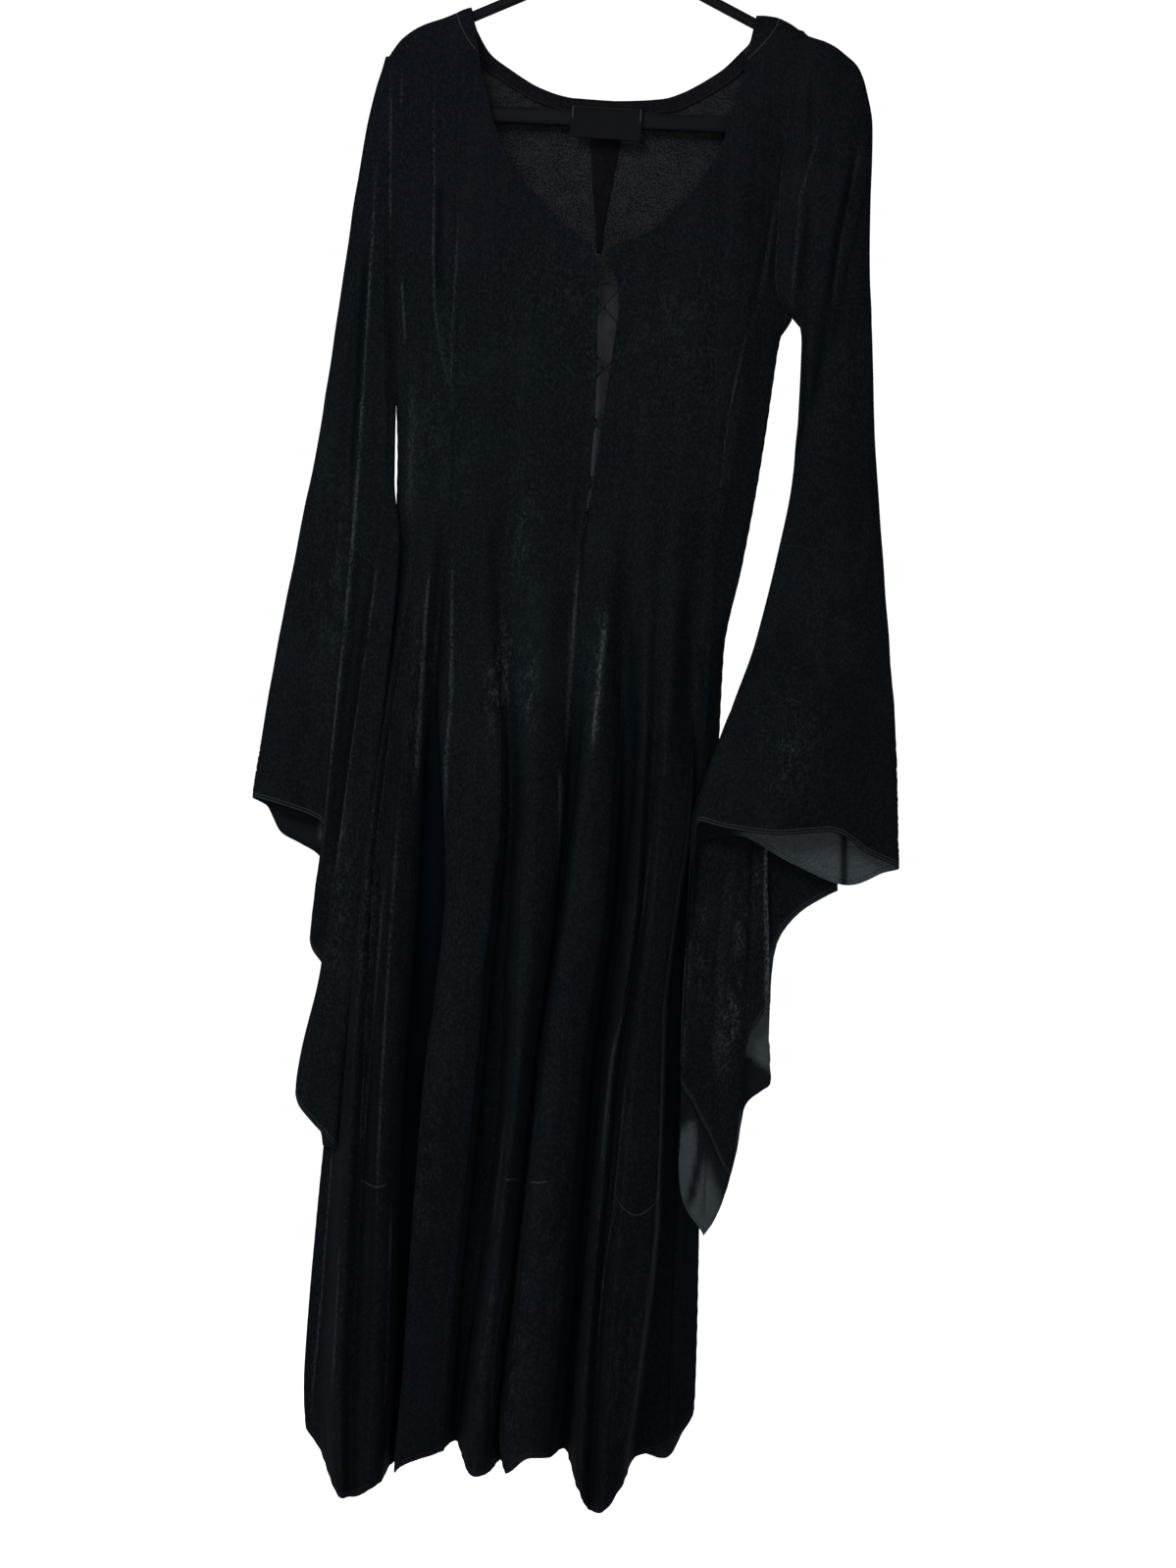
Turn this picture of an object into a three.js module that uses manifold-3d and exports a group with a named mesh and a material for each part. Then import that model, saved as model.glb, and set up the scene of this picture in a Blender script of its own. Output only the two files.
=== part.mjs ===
// A long velvet gown with bell sleeves and a laced front slit, hung on a clothes hanger.
// Millimetres, +Z up. The front faces -Y and the origin is the inside top of the hanger's hook.
// All cloth is a thin wall about a middle surface. The surface is worked out from tables of
// folds: each row is one ridge, valley or edge that runs down the cloth, and its columns say
// where it lies across the gown at a few heights, how far it stands out and where its hem is.
import * as THREE from "three";
import { mergeVertices } from "three/addons/utils/BufferGeometryUtils.js";
import Module from "manifold-3d";

const wasm = await Module();
wasm.setup();

// Cloth and seams
const clothWall = 1.6;
const trimWall = 1.2;
const labelWall = 1.0;
const seamGap = 0.3;
const pressedWidth = 14;
const bandEase = 1.5;
const tapeEase = 0.7;

// Heights of the gown, measured down from the hook
const underarmLeft = -517;
const underarmRight = -411;
const armholeTopLeft = -181;
const armholeTopRight = -133;
const waistHeight = -655;
const shoulderRound = 9;

// Hanger
const hangerTilt = THREE.MathUtils.degToRad(0.9);
const armApexTop = -63.5;
const armSlope = 0.48;
const armHeight = 10;
const armThickness = 8;
const armReach = 196;
const barHeight = -230.5;
const barSize = 16;
const hookWire = 4;
const hookRadius = 20;

// Body outline: each row is one height, with the left and right edges of the gown as worn by
// the eye from the front, and how far the front and the back stand from the middle plane.
const bodyLevels = [
  { z: -125, left: -217, right: 176, flare: 0, front: 10, back: 9 },
  { z: -180, left: -217.5, right: 173, flare: 0, front: 15, back: 11 },
  { z: -222, left: -215, right: 168.6, flare: 0, front: 18, back: 13 },
  { z: -300, left: -210, right: 165, flare: 0, front: 24, back: 16 },
  { z: -370, left: -204.5, right: 165.5, flare: 0, front: 28, back: 19 },
  { z: -395, left: -202.5, right: 167, flare: 4, front: 28.5, back: 20 },
  { z: -411, left: -201.3, right: 169, flare: 16, front: 28.5, back: 20.5 },
  { z: -432, left: -200, right: 170.3, flare: 4.5, front: 28, back: 21 },
  { z: -479, left: -195.5, right: 170.2, flare: 0, front: 27, back: 21 },
  { z: -520, left: -189.5, right: 166.8, flare: 0, front: 25, back: 21 },
  { z: -580, left: -184.8, right: 160.8, flare: 0, front: 22, back: 20 },
  { z: -655, left: -182.8, right: 151.2, flare: 0, front: 20, back: 20 },
];
const skirtLevels = [
  { z: -740, front: 26, back: 26, fold: 0.26 },
  { z: -832, front: 33, back: 33, fold: 0.45 },
  { z: -978, front: 42, back: 41, fold: 0.7 },
  { z: -1160, front: 48, back: 48, fold: 0.9 },
  { z: -1450, front: 52, back: 52, fold: 1 },
  { z: -1560, front: 52, back: 52, fold: 1 },
];
const waistFold = 0.1;

// Side edges of the skirt at the heights of skirtLevels
const skirtLeft = [-188.5, -196, -205.5, -213.6, -222.8, -214];
const skirtRight = [139.4, 141, 144, 146, 156.6, 158.6];
const sideDepthLeft = [1, 3, 5, 6, 6, 6];
const sideDepthRight = [8, 22, 32, 34, 30, 30];

// Folds of the front from the left edge to the right edge. share is the place across the
// bodice, hip to low are the places at the last five skirt heights, stand is how far the fold
// stands back (a ridge is negative) and hem is the height of its lower edge.
const frontFolds = [
  { name: "leftSide", share: 0, hem: -1507 },
  { name: "leftTurn", share: 0.02, hip: -190.5, knee: -200, calf: -206, low: -208, foot: -200, stand: 12, hem: -1532 },
  { name: "outerRidge", share: 0.05, hip: -182, knee: -189, calf: -190, low: -186, foot: -177, stand: -36, hem: -1559 },
  { name: "outerDip", share: 0.077, hip: -172, knee: -178, calf: -175, low: -171, foot: -166, stand: -18, hem: -1562 },
  { name: "secondRidge", share: 0.108, hip: -158, knee: -159, calf: -158, low: -149, foot: -147, stand: -36, hem: -1547 },
  { name: "firstValley", share: 0.14, hip: -139, knee: -134, calf: -139, low: -134, foot: -134, stand: 35, hem: -1542 },
  { name: "princessLeft", share: 0.17, hip: -121, knee: -108, calf: -120, low: -120, foot: -118, stand: -20, hem: -1523 },
  { name: "broadFace", share: 0.258, hip: -79, knee: -67, calf: -81, low: -89, foot: -96, stand: -26, hem: -1512 },
  { name: "secondValley", share: 0.318, hip: -64, knee: -52, calf: -65, low: -77, foot: -78, stand: 34, hem: -1508 },
  { name: "thirdRidge", share: 0.43, hip: -32, knee: -27, calf: -38, low: -50, foot: -47, stand: -36, hem: -1526 },
  { name: "centreFront", share: 0.536, hip: 1, knee: -7, calf: -22, low: -30, foot: -15, stand: 22, hem: -1523 },
  { name: "fourthRidge", share: 0.612, hip: 23, knee: 18, calf: 3, low: -2, foot: 8, stand: -34, hem: -1506 },
  { name: "thirdValley", share: 0.672, hip: 46, knee: 45, calf: 33, low: 29, foot: 30, stand: 36, hem: -1512 },
  { name: "fifthRidge", share: 0.726, hip: 65, knee: 66, calf: 53, low: 46, foot: 48, stand: -30, hem: -1534 },
  { name: "ridgeCrease", share: 0.766, hip: 77, knee: 76, calf: 63, low: 59, foot: 61, stand: -14, hem: -1558 },
  { name: "sixthRidge", share: 0.812, hip: 90, knee: 87, calf: 78, low: 73, foot: 74, stand: -42, hem: -1549 },
  { name: "fourthValley", share: 0.868, hip: 106, knee: 104, calf: 104, low: 100, foot: 100, stand: 40, hem: -1521 },
  { name: "princessRight", share: 0.925, hip: 126, knee: 124, calf: 125, low: 131, foot: 136, stand: 32, hem: -1508 },
  { name: "rightSide", share: 1, hem: -1479 },
];

// Folds of the back from the right edge to the left edge; here a ridge is positive.
const backFolds = [
  { name: "rightSide", share: 1, stand: 0, hem: -1479 },
  { name: "backTurn", share: 0.972, stand: -2, hem: -1506 },
  { name: "backDipA", share: 0.93, stand: -14, hem: -1530 },
  { name: "backRidgeA", share: 0.85, stand: 26, hem: -1537 },
  { name: "backValleyA", share: 0.755, stand: -24, hem: -1538 },
  { name: "backRidgeB", share: 0.665, stand: 30, hem: -1540 },
  { name: "backRidgeC", share: 0.6, stand: 10, hem: -1540 },
  { name: "centreBack", share: 0.547, stand: -26, hem: -1539 },
  { name: "backRidgeD", share: 0.46, stand: 28, hem: -1542 },
  { name: "backValleyB", share: 0.36, stand: -24, hem: -1520 },
  { name: "backRidgeE", share: 0.27, stand: 31, hem: -1543 },
  { name: "backValleyC", share: 0.18, stand: -20, hem: -1544 },
  { name: "backRidgeF", share: 0.085, stand: 18, hem: -1540 },
  { name: "leftSide", share: 0, stand: 0, hem: -1507 },
];

// Upper edges of the bodice as seen from the front: the shoulders and the neckline
const leftShoulder = [
  { x: -218, z: -181 },
  { x: -207, z: -165 },
  { x: -189, z: -151.5 },
  { x: -166, z: -142 },
  { x: -143, z: -131 },
];
const rightShoulder = [
  { x: 134, z: -121.8 },
  { x: 141, z: -121.3 },
  { x: 152, z: -122 },
  { x: 164, z: -126 },
  { x: 176, z: -132.5 },
];
const frontNeckLeft = [
  { x: -137, z: -149 },
  { x: -129, z: -190 },
  { x: -120, z: -222 },
  { x: -111, z: -250 },
  { x: -95, z: -282 },
  { x: -69, z: -313 },
  { x: -39, z: -340 },
  { x: -15, z: -357 },
  { x: -4, z: -375 },
];
const frontNeckRight = [
  { x: 3, z: -363 },
  { x: 23, z: -352 },
  { x: 41, z: -344 },
  { x: 68, z: -319 },
  { x: 90, z: -289 },
  { x: 106, z: -256 },
  { x: 114, z: -227 },
  { x: 123, z: -188 },
  { x: 131, z: -145 },
];
const backNeck = [
  { x: -139, z: -141 },
  { x: -135, z: -151 },
  { x: -121, z: -171.5 },
  { x: -101, z: -184.5 },
  { x: -72, z: -200 },
  { x: -40, z: -208 },
  { x: 0, z: -208.5 },
  { x: 48, z: -203.5 },
  { x: 71, z: -194.5 },
  { x: 103, z: -173 },
  { x: 121, z: -154 },
  { x: 131, z: -141 },
];

// How far the slit's right edge stands from its left edge
const slitGap = [
  { z: -355, gap: 7 },
  { z: -376, gap: 12 },
  { z: -393, gap: 20 },
  { z: -418, gap: 20 },
  { z: -451, gap: 16 },
  { z: -498, gap: 10.5 },
  { z: -545, gap: 7 },
  { z: -593, gap: 4 },
  { z: -630, gap: 1 },
  { z: -655, gap: 0 },
];

// Right sleeve above the bell: its inner edge, its outer edge and half its depth
const rightSleeveLevels = [
  { z: -134, inner: 177, outer: 179.5, depth: 2 },
  { z: -139, inner: 176.8, outer: 186, depth: 5 },
  { z: -143, inner: 176.5, outer: 202, depth: 8 },
  { z: -149, inner: 176, outer: 215, depth: 10 },
  { z: -165, inner: 175.2, outer: 234.5, depth: 12 },
  { z: -185, inner: 173.8, outer: 244, depth: 14 },
  { z: -222, inner: 169.6, outer: 252, depth: 16 },
  { z: -300, inner: 165.8, outer: 255.4, depth: 18 },
  { z: -370, inner: 166.3, outer: 259, depth: 18 },
  { z: -395, inner: 171.8, outer: 261.4, depth: 18 },
  { z: -411, inner: 186.4, outer: 263, depth: 17 },
  { z: -419, inner: 195, outer: 264, depth: 16.5 },
  { z: -436, inner: 198.6, outer: 265.5, depth: 16 },
  { z: -512, inner: 199.2, outer: 272, depth: 16 },
  { z: -570, inner: 196.6, outer: 278.4, depth: 17 },
  { z: -640, inner: 186.6, outer: 287, depth: 20 },
  { z: -728, inner: 169.5, outer: 297.5, depth: 24 },
];
// Folds of the right sleeve from its long point round the front to the outer edge and back.
// share is the place across the upper sleeve, side is -1 on its front and 1 on its back, then
// come the places at the heights of rightBellHeights, the depth in the bell and the hem.
const rightBellHeights = [-811, -904, -1057, -1247, -1320];
const rightSleeveFolds = [
  { name: "point", share: 0, side: -1, x: [148, 137, 141.4, 151.6, 154.4], depth: 31, hem: -1299 },
  { name: "pointLeft", share: 0.02, side: -1, x: [146, 126, 127, 137, 141], depth: 25, hem: -1268 },
  { name: "innerA", share: 0.04, side: -1, x: [145, 119, 117, 128, 131], depth: 14, hem: -1178 },
  { name: "innerB", share: 0.06, side: -1, x: [144, 117, 115, 126, 130], depth: 4, hem: -1036 },
  { name: "innerC", share: 0.08, side: -1, x: [144, 118, 117, 128, 130], depth: -6, hem: -932 },
  { name: "frontStart", share: 0.12, side: -1, x: [146, 124, 131, 142, 145], depth: -14, hem: -903 },
  { name: "frontA", share: 0.27, side: -1, x: [166, 150, 159, 170, 172], depth: -21, hem: -908 },
  { name: "frontB", share: 0.5, side: -1, x: [206, 194, 202, 214, 216], depth: -26, hem: -911 },
  { name: "frontC", share: 0.76, side: -1, x: [248, 247, 255, 266, 269], depth: -23, hem: -905 },
  { name: "frontD", share: 0.92, side: -1, x: [281, 284, 293, 304, 307], depth: -15, hem: -924 },
  { name: "outerEdge", share: 1, side: -1, x: [305.4, 311.6, 324, 335, 338], depth: -4, hem: -935 },
  { name: "backA", share: 0.92, side: 1, x: [293, 299, 310, 320, 322], depth: 4, hem: -941 },
  { name: "backCrease", share: 0.72, side: 1, x: [247, 263, 272, 284, 286], depth: 4, hem: -955 },
  { name: "backB", share: 0.56, side: 1, x: [212, 210, 220, 232, 234], depth: 8, hem: -936 },
  { name: "backC", share: 0.44, side: 1, x: [175, 161, 171, 182, 184], depth: 8, hem: -914 },
  { name: "foldLeft", share: 0.4, side: 1, x: [163, 130, 131, 141, 143], depth: 11, hem: -916 },
  { name: "dropLeft", share: 0.385, side: 1, x: [163, 125, 124, 135, 137], depth: 14, hem: -1063 },
  { name: "dropA", share: 0.37, side: 1, x: [168, 134, 127, 137, 139], depth: 16, hem: -1153 },
  { name: "dropB", share: 0.355, side: 1, x: [177, 152, 144, 152, 154], depth: 16, hem: -1197 },
  { name: "dropC", share: 0.34, side: 1, x: [184, 170, 169, 174, 175], depth: 17, hem: -1238 },
  { name: "dropDip", share: 0.325, side: 1, x: [188, 178, 182, 188, 190], depth: 21, hem: -1111 },
  { name: "dropRidge", share: 0.31, side: 1, x: [192, 190, 200, 207, 209], depth: 18, hem: -1080 },
  { name: "turnRight", share: 0.295, side: 1, x: [191, 189, 199, 206, 208], depth: 23, hem: -1079 },
  { name: "hidden", share: 0.28, side: 1, x: [186, 178, 188, 198, 200], depth: 26, hem: -1043 },
  { name: "wingA", share: 0.265, side: 1, x: [190, 192, 206, 218, 220], depth: 29, hem: -1021 },
  { name: "wingB", share: 0.25, side: 1, x: [205, 205, 217, 230, 232], depth: 30, hem: -1001 },
  { name: "wingC", share: 0.235, side: 1, x: [224, 229, 239, 252, 254], depth: 32, hem: -979 },
  { name: "wingEdge", share: 0.22, side: 1, x: [240, 258, 267, 280, 282], depth: 36, hem: -962 },
  { name: "wingBack", share: 0.2, side: 1, x: [226, 234, 243, 256, 258], depth: 40, hem: -976 },
  { name: "behindA", share: 0.17, side: 1, x: [208, 205, 209, 222, 224], depth: 41, hem: -1016 },
  { name: "behindB", share: 0.14, side: 1, x: [198, 193, 201, 212, 214], depth: 41, hem: -1126 },
  { name: "behindC", share: 0.115, side: 1, x: [190, 187, 199.5, 217, 219], depth: 40, hem: -1151 },
  { name: "behindD", share: 0.09, side: 1, x: [184, 177, 190, 206, 207], depth: 39, hem: -1159 },
  { name: "behindE", share: 0.065, side: 1, x: [176, 163, 176, 191, 193], depth: 38, hem: -1173 },
  { name: "behindF", share: 0.04, side: 1, x: [169, 154, 167, 180, 182], depth: 36.5, hem: -1226 },
  { name: "behindG", share: 0.02, side: 1, x: [159, 145, 155, 166, 169], depth: 34.5, hem: -1274 },
  { name: "pointEnd", share: 0, side: 1, x: [149.4, 138, 142.4, 152.6, 155.4], depth: 32, hem: -1299 },
];

// Left sleeve above the bell
const leftSleeveLevels = [
  { z: -182, inner: -218.8, outer: -221.5, depth: 2 },
  { z: -196, inner: -218.2, outer: -224.6, depth: 4 },
  { z: -213, inner: -216.9, outer: -229, depth: 7 },
  { z: -250, inner: -214.4, outer: -235.4, depth: 11 },
  { z: -309, inner: -210.6, outer: -241.6, depth: 15 },
  { z: -395, inner: -203.8, outer: -249.8, depth: 18 },
  { z: -440, inner: -201.6, outer: -254.2, depth: 19 },
  { z: -500, inner: -196.4, outer: -260.2, depth: 19 },
];
const leftBellHeights = [-539, -662, -852, -926, -1063, -1179, -1240];
const leftSleeveFolds = [
  { name: "seam", share: 0, side: -1, x: [-190.6, -189, -202.6, -207.8, -214, -217.4, -217.6], depth: -4, hem: -1239 },
  { name: "nearA", share: 0.04, side: -1, x: [-190, -183.6, -197.4, -202.6, -209.6, -215, -216.4], depth: -19, hem: -1236 },
  { name: "nearB", share: 0.06, side: -1, x: [-194, -190, -203, -208, -216, -225, -226], depth: -22, hem: -1221 },
  { name: "nearFold", share: 0.08, side: -1, x: [-198, -197, -211, -216, -225.6, -242, -243], depth: -22, hem: -1194 },
  { name: "nearTurn", share: 0.12, side: -1, x: [-199, -198, -212, -217, -226.6, -243, -244], depth: -18, hem: -1176 },
  { name: "nearBack", share: 0.16, side: -1, x: [-198, -196, -208, -213, -219, -227, -228], depth: -13, hem: -1088 },
  { name: "middleA", share: 0.2, side: -1, x: [-206, -207, -219, -223, -228.6, -229, -229], depth: -10, hem: -1064 },
  { name: "middleFold", share: 0.25, side: -1, x: [-226, -225, -231, -234, -242, -238, -238], depth: -8, hem: -1044 },
  { name: "middleTurn", share: 0.29, side: -1, x: [-228, -227, -232, -235, -242, -238, -238], depth: -4, hem: -988 },
  { name: "middleBack", share: 0.33, side: -1, x: [-221, -222, -227, -229, -222, -216, -216], depth: 0, hem: -953 },
  { name: "farA", share: 0.42, side: -1, x: [-234, -239, -240, -241, -231, -226, -226], depth: 4, hem: -926 },
  { name: "farB", share: 0.66, side: -1, x: [-250, -260, -269, -271, -262, -255, -255], depth: 3, hem: -915 },
  { name: "outerEdge", share: 1, side: -1, x: [-263.8, -280.2, -302.8, -309, -300, -292, -292], depth: 12, hem: -907 },
  { name: "backA", share: 0.9, side: 1, x: [-258, -272, -292, -296, -286, -278, -278], depth: 20, hem: -914 },
  { name: "backB", share: 0.72, side: 1, x: [-244, -254, -274, -280, -270, -263, -263], depth: 23, hem: -940 },
  { name: "backC", share: 0.55, side: 1, x: [-230, -237, -255, -262, -254, -247, -247], depth: 24, hem: -949 },
  { name: "backD", share: 0.4, side: 1, x: [-219, -223, -235, -240, -235, -228, -228], depth: 24, hem: -963 },
  { name: "backE", share: 0.27, side: 1, x: [-211, -211, -222, -226, -225, -228, -228], depth: 22, hem: -1083 },
  { name: "backF", share: 0.14, side: 1, x: [-203, -202, -213, -218, -221, -226, -226], depth: 14, hem: -1200 },
  { name: "seamEnd", share: 0, side: 1, x: [-190.8, -189.6, -203.2, -208.4, -214.6, -218, -218.2], depth: -2.8, hem: -1239 },
];
// The bells lean forward, where they rest on the flare of the skirt
const rightLean = [
  { z: -560, y: 0 },
  { z: -700, y: -14 },
  { z: -811, y: -38 },
  { z: -904, y: -52 },
  { z: -1320, y: -58 },
];
const leftLean = [
  { z: -500, y: 0 },
  { z: -1240, y: 2 },
];

// Lace: crossings between pairs of loops behind the slit's edges
const laceDiameter = 2.5;
const laceTop = -389;
const lacePitch = 54;
const laceRungs = 4;
const laceHold = 9;
const tapeTop = -380;
const tapeFoot = -630;
const tapeWide = 12;
const tapeInset = 2;

// Label
const labelLeft = -39.5;
const labelRight = 29.5;
const labelHang = -251;

// Columns and rows of the panels: shares of the way from the upper edge to the waist, then
// shares of the way from the waist to the hem
const bodiceRows = [0, 0.006, 0.018, 0.045, 0.1, 0.19, 0.31, 0.45, 0.62, 0.8, 1];
const skirtRows = [0.11, 0.22, 0.34, 0.46, 0.58, 0.72, 0.88, 1];
const bellRows = [0.25, 0.5, 0.75, 1];
const bodySteps = 3;
const closestColumns = 0.04;
const placeStep = 2e-3;
const rowStep = 5e-4;

const velvet = { color: 0x0b0e11, roughness: 0.85, metalness: 0 };
const backing = { color: 0x1c2020, roughness: 0.9, metalness: 0 };
const satin = { color: 0x101214, roughness: 0.55, metalness: 0 };
const cord = { color: 0x0a0b0c, roughness: 0.7, metalness: 0 };
const plastic = { color: 0x141414, roughness: 0.45, metalness: 0 };
const steel = { color: 0xb8babd, roughness: 0.3, metalness: 1 };

const clamp = (value, low, high) => Math.min(high, Math.max(low, value));
const mix = (a, b, t) => a + (b - a) * t;

// Smooth curve through (place, value) pairs that never swings past them: cubic pieces whose
// slope at each place is the harmonic mean of the slopes beside it.
function smoothCurve(places, values) {
  const n = places.length;
  const slope = [];
  for (let i = 0; i < n - 1; i++) {
    slope.push((values[i + 1] - values[i]) / (places[i + 1] - places[i]));
  }
  const tangent = [slope[0]];
  for (let i = 1; i < n - 1; i++) {
    const same = slope[i - 1] * slope[i] > 0;
    tangent.push(same ? (2 * slope[i - 1] * slope[i]) / (slope[i - 1] + slope[i]) : 0);
  }
  tangent.push(slope[n - 2]);
  return (at) => {
    const place = clamp(at, Math.min(places[0], places[n - 1]), Math.max(places[0], places[n - 1]));
    let i = 0;
    while (i < n - 2 && (place - places[i + 1]) * (places[1] - places[0]) > 0) {
      i++;
    }
    const span = places[i + 1] - places[i];
    const t = (place - places[i]) / span;
    const a = 2 * t ** 3 - 3 * t ** 2 + 1;
    const b = t ** 3 - 2 * t ** 2 + t;
    const c = 3 * t ** 2 - 2 * t ** 3;
    const d = t ** 3 - t ** 2;
    return a * values[i] + b * span * tangent[i] + c * values[i + 1] + d * span * tangent[i + 1];
  };
}

const curveOf = (rows, from, to) =>
  smoothCurve(
    rows.map((row) => row[from]),
    rows.map((row) => row[to]),
  );

// Catmull-Rom point between the second and third of four section points
function betweenPoints(before, start, end, after, t) {
  const part = (a, b, c, d) =>
    0.5 * (2 * b + (c - a) * t + (2 * a - 5 * b + 4 * c - d) * t ** 2 + (3 * b - a - 3 * c + d) * t ** 3);
  return [part(before[0], start[0], end[0], after[0]), part(before[1], start[1], end[1], after[1])];
}

// A front-to-back closing at the top of the shoulders: 0 at the ridge, 1 a little below it
const roundIn = (below) => Math.sqrt(1 - (1 - clamp(below / shoulderRound, 0, 1)) ** 2);

// Half the width of the armhole, front to back, at a height between its top and the underarm
function armholeDepth(z, top, underarm) {
  const t = clamp((top - z) / (top - underarm), 0, 1);
  return 13 * Math.sqrt(Math.sin(Math.PI * t ** 0.55) + 1e-9) * (t < 1 ? 1 : 0);
}

const levelsAll = [...bodyLevels, ...skirtLevels];
const heightsAll = levelsAll.map((level) => level.z);
const bodiceCount = bodyLevels.length;
const lens = (share) => Math.sqrt(Math.max(0, 1 - Math.abs(2 * share - 1) ** 3.4));

// Each fold of the body as two smooth curves down its length: across (x) and depth (y)
function bodyFoldCurves(fold, front) {
  const sign = front ? -1 : 1;
  const xs = [];
  const ys = [];
  levelsAll.forEach((level, i) => {
    const skirt = i - bodiceCount;
    const left = skirt < 0 ? level.left : skirtLeft[skirt];
    const right = skirt < 0 ? level.right + level.flare * fold.share ** 20 : skirtRight[skirt];
    const even = mix(left, right, fold.share);
    const edge = fold.share === 0 || fold.share === 1;
    let x = even;
    if (skirt >= 1 && fold.hip !== undefined) {
      x = [fold.hip, fold.knee, fold.calf, fold.low, fold.foot][skirt - 1];
    }
    if (skirt === 0 && fold.hip !== undefined) {
      const waist = bodyLevels[bodiceCount - 1];
      x = mix(mix(waist.left, waist.right, fold.share), fold.hip, 0.48);
    }
    const stand = (fold.stand ?? 0) * (skirt < 0 ? (level.z === waistHeight ? waistFold : 0) : level.fold);
    const side = fold.share === 0 ? sideDepthLeft : sideDepthRight;
    const middle = skirt < 0 ? 0 : mix(sideDepthLeft[skirt], sideDepthRight[skirt], fold.share ** 3);
    const depth = edge ? (skirt < 0 ? 0 : side[skirt]) : sign * lens(fold.share) * level[front ? "front" : "back"];
    xs.push(x);
    ys.push(depth + stand + (edge || front ? 0 : middle * 0.5));
  });
  return { across: smoothCurve(heightsAll, xs), depth: smoothCurve(heightsAll, ys) };
}

const frontCurves = frontFolds.map((fold) => bodyFoldCurves(fold, true));
const backCurves = backFolds.map((fold) => bodyFoldCurves(fold, false));
const frontLast = frontFolds.length - 1;
const backLast = backFolds.length - 1;

const shoulderLine = curveOf([...leftShoulder, { x: 0, z: -80 }, ...rightShoulder], "x", "z");
const slitWidth = curveOf(slitGap, "z", "gap");

const armLeft = (z) => armholeDepth(z, armholeTopLeft, underarmLeft);
const armRight = (z) => armholeDepth(z, armholeTopRight, underarmRight);

// The point of one fold at one height. Above the underarm the front and the back stand apart
// at the armhole; below it they share the side edge.
function foldPoint(front, index, z) {
  const curve = (front ? frontCurves : backCurves)[index];
  const share = (front ? frontFolds : backFolds)[index].share;
  const sign = front ? -1 : 1;
  const open = sign * (armLeft(z) * (1 - share) ** 6 + armRight(z) * share ** 6);
  return [curve.across(z), curve.depth(z) + open];
}

const sideBlend = (z, underarm) => clamp((underarm + 40 - z) / 40, 0, 1);

function bodySection(front, place, z) {
  const last = front ? frontLast : backLast;
  const index = clamp(Math.floor(place), 0, last - 1);
  const at = (i) => foldPoint(front, i, z);
  const beyond = (edge, inner, otherIndex, underarm) => {
    const a = at(edge);
    const b = at(inner);
    const other = foldPoint(!front, otherIndex, z);
    const w = sideBlend(z, underarm);
    return [mix(2 * a[0] - b[0], other[0], w), mix(2 * a[1] - b[1], other[1], w)];
  };
  const startUnderarm = front ? underarmLeft : underarmRight;
  const endUnderarm = front ? underarmRight : underarmLeft;
  const otherLast = front ? backLast : frontLast;
  const before = index > 0 ? at(index - 1) : beyond(0, 1, otherLast - 1, startUnderarm);
  const after = index < last - 1 ? at(index + 2) : beyond(last, last - 1, 1, endUnderarm);
  return betweenPoints(before, at(index), at(index + 1), after, place - index);
}

const centreFront = frontFolds.findIndex((fold) => fold.name === "centreFront");
const princessLeft = frontFolds.findIndex((fold) => fold.name === "princessLeft");
const princessRight = frontFolds.findIndex((fold) => fold.name === "princessRight");
const centreBack = backFolds.findIndex((fold) => fold.name === "centreBack");

// A point of the gown's front or back. rightOfSlit opens the slit for the right centre panel.
function bodyPoint(front, place, z, rightOfSlit = false) {
  const [x, y] = bodySection(front, place, z);
  const shift = rightOfSlit ? slitWidth(z) * clamp(centreFront + 1 - place, 0, 1) : 0;
  const close = roundIn(shoulderLine(x + shift) - z);
  const ridge = (front ? -1 : 1) * seamGap * 0.5;
  return new THREE.Vector3(x + shift, ridge + y * close, z);
}

const frontEdgeLeft = curveOf([...leftShoulder, ...frontNeckLeft], "x", "z");
const frontEdgeRight = curveOf([...frontNeckRight, ...rightShoulder], "x", "z");
const backEdge = curveOf([...leftShoulder, ...backNeck, ...rightShoulder], "x", "z");

// Height at which a fold line meets the upper edge
function topOf(front, place, rightOfSlit) {
  let edge = backEdge;
  if (front) {
    edge = rightOfSlit || place > centreFront + 1 ? frontEdgeRight : frontEdgeLeft;
  }
  let z = -220;
  for (let i = 0; i < 24; i++) {
    const x = bodyPoint(front, place, z, rightOfSlit).x;
    z = mix(z, edge(x), 0.6);
  }
  return z;
}

const frontHem = smoothCurve(
  frontFolds.map((fold, i) => i),
  frontFolds.map((fold) => fold.hem),
);
const backHem = smoothCurve(
  backFolds.map((fold, i) => i),
  backFolds.map((fold) => fold.hem),
);

// A closed wall about a middle surface. surface(u, v) gives the middle point for a column
// place u and a row place v. Normals come from small steps on the surface itself, so two
// panels that share a seam have parallel edges there.
function clothSolid(surface, columns, rows, wall, normalRange) {
  const half = wall / 2;
  const [low, high] = normalRange;
  const stepU = 1e-3;
  const stepV = 1e-4;
  const sides = [[], []];
  for (const v of rows) {
    for (const u of columns) {
      const alongU = surface(Math.min(high, u + stepU), v).sub(surface(Math.max(low, u - stepU), v));
      const alongV = surface(u, Math.min(1, v + stepV)).sub(surface(u, Math.max(0, v - stepV)));
      const normal = alongU.cross(alongV).normalize();
      const middle = surface(u, v);
      sides[0].push(middle.clone().addScaledVector(normal, half));
      sides[1].push(middle.clone().addScaledVector(normal, -half));
    }
  }
  return wallGeometry(sides, columns.length, rows.length);
}

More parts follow.
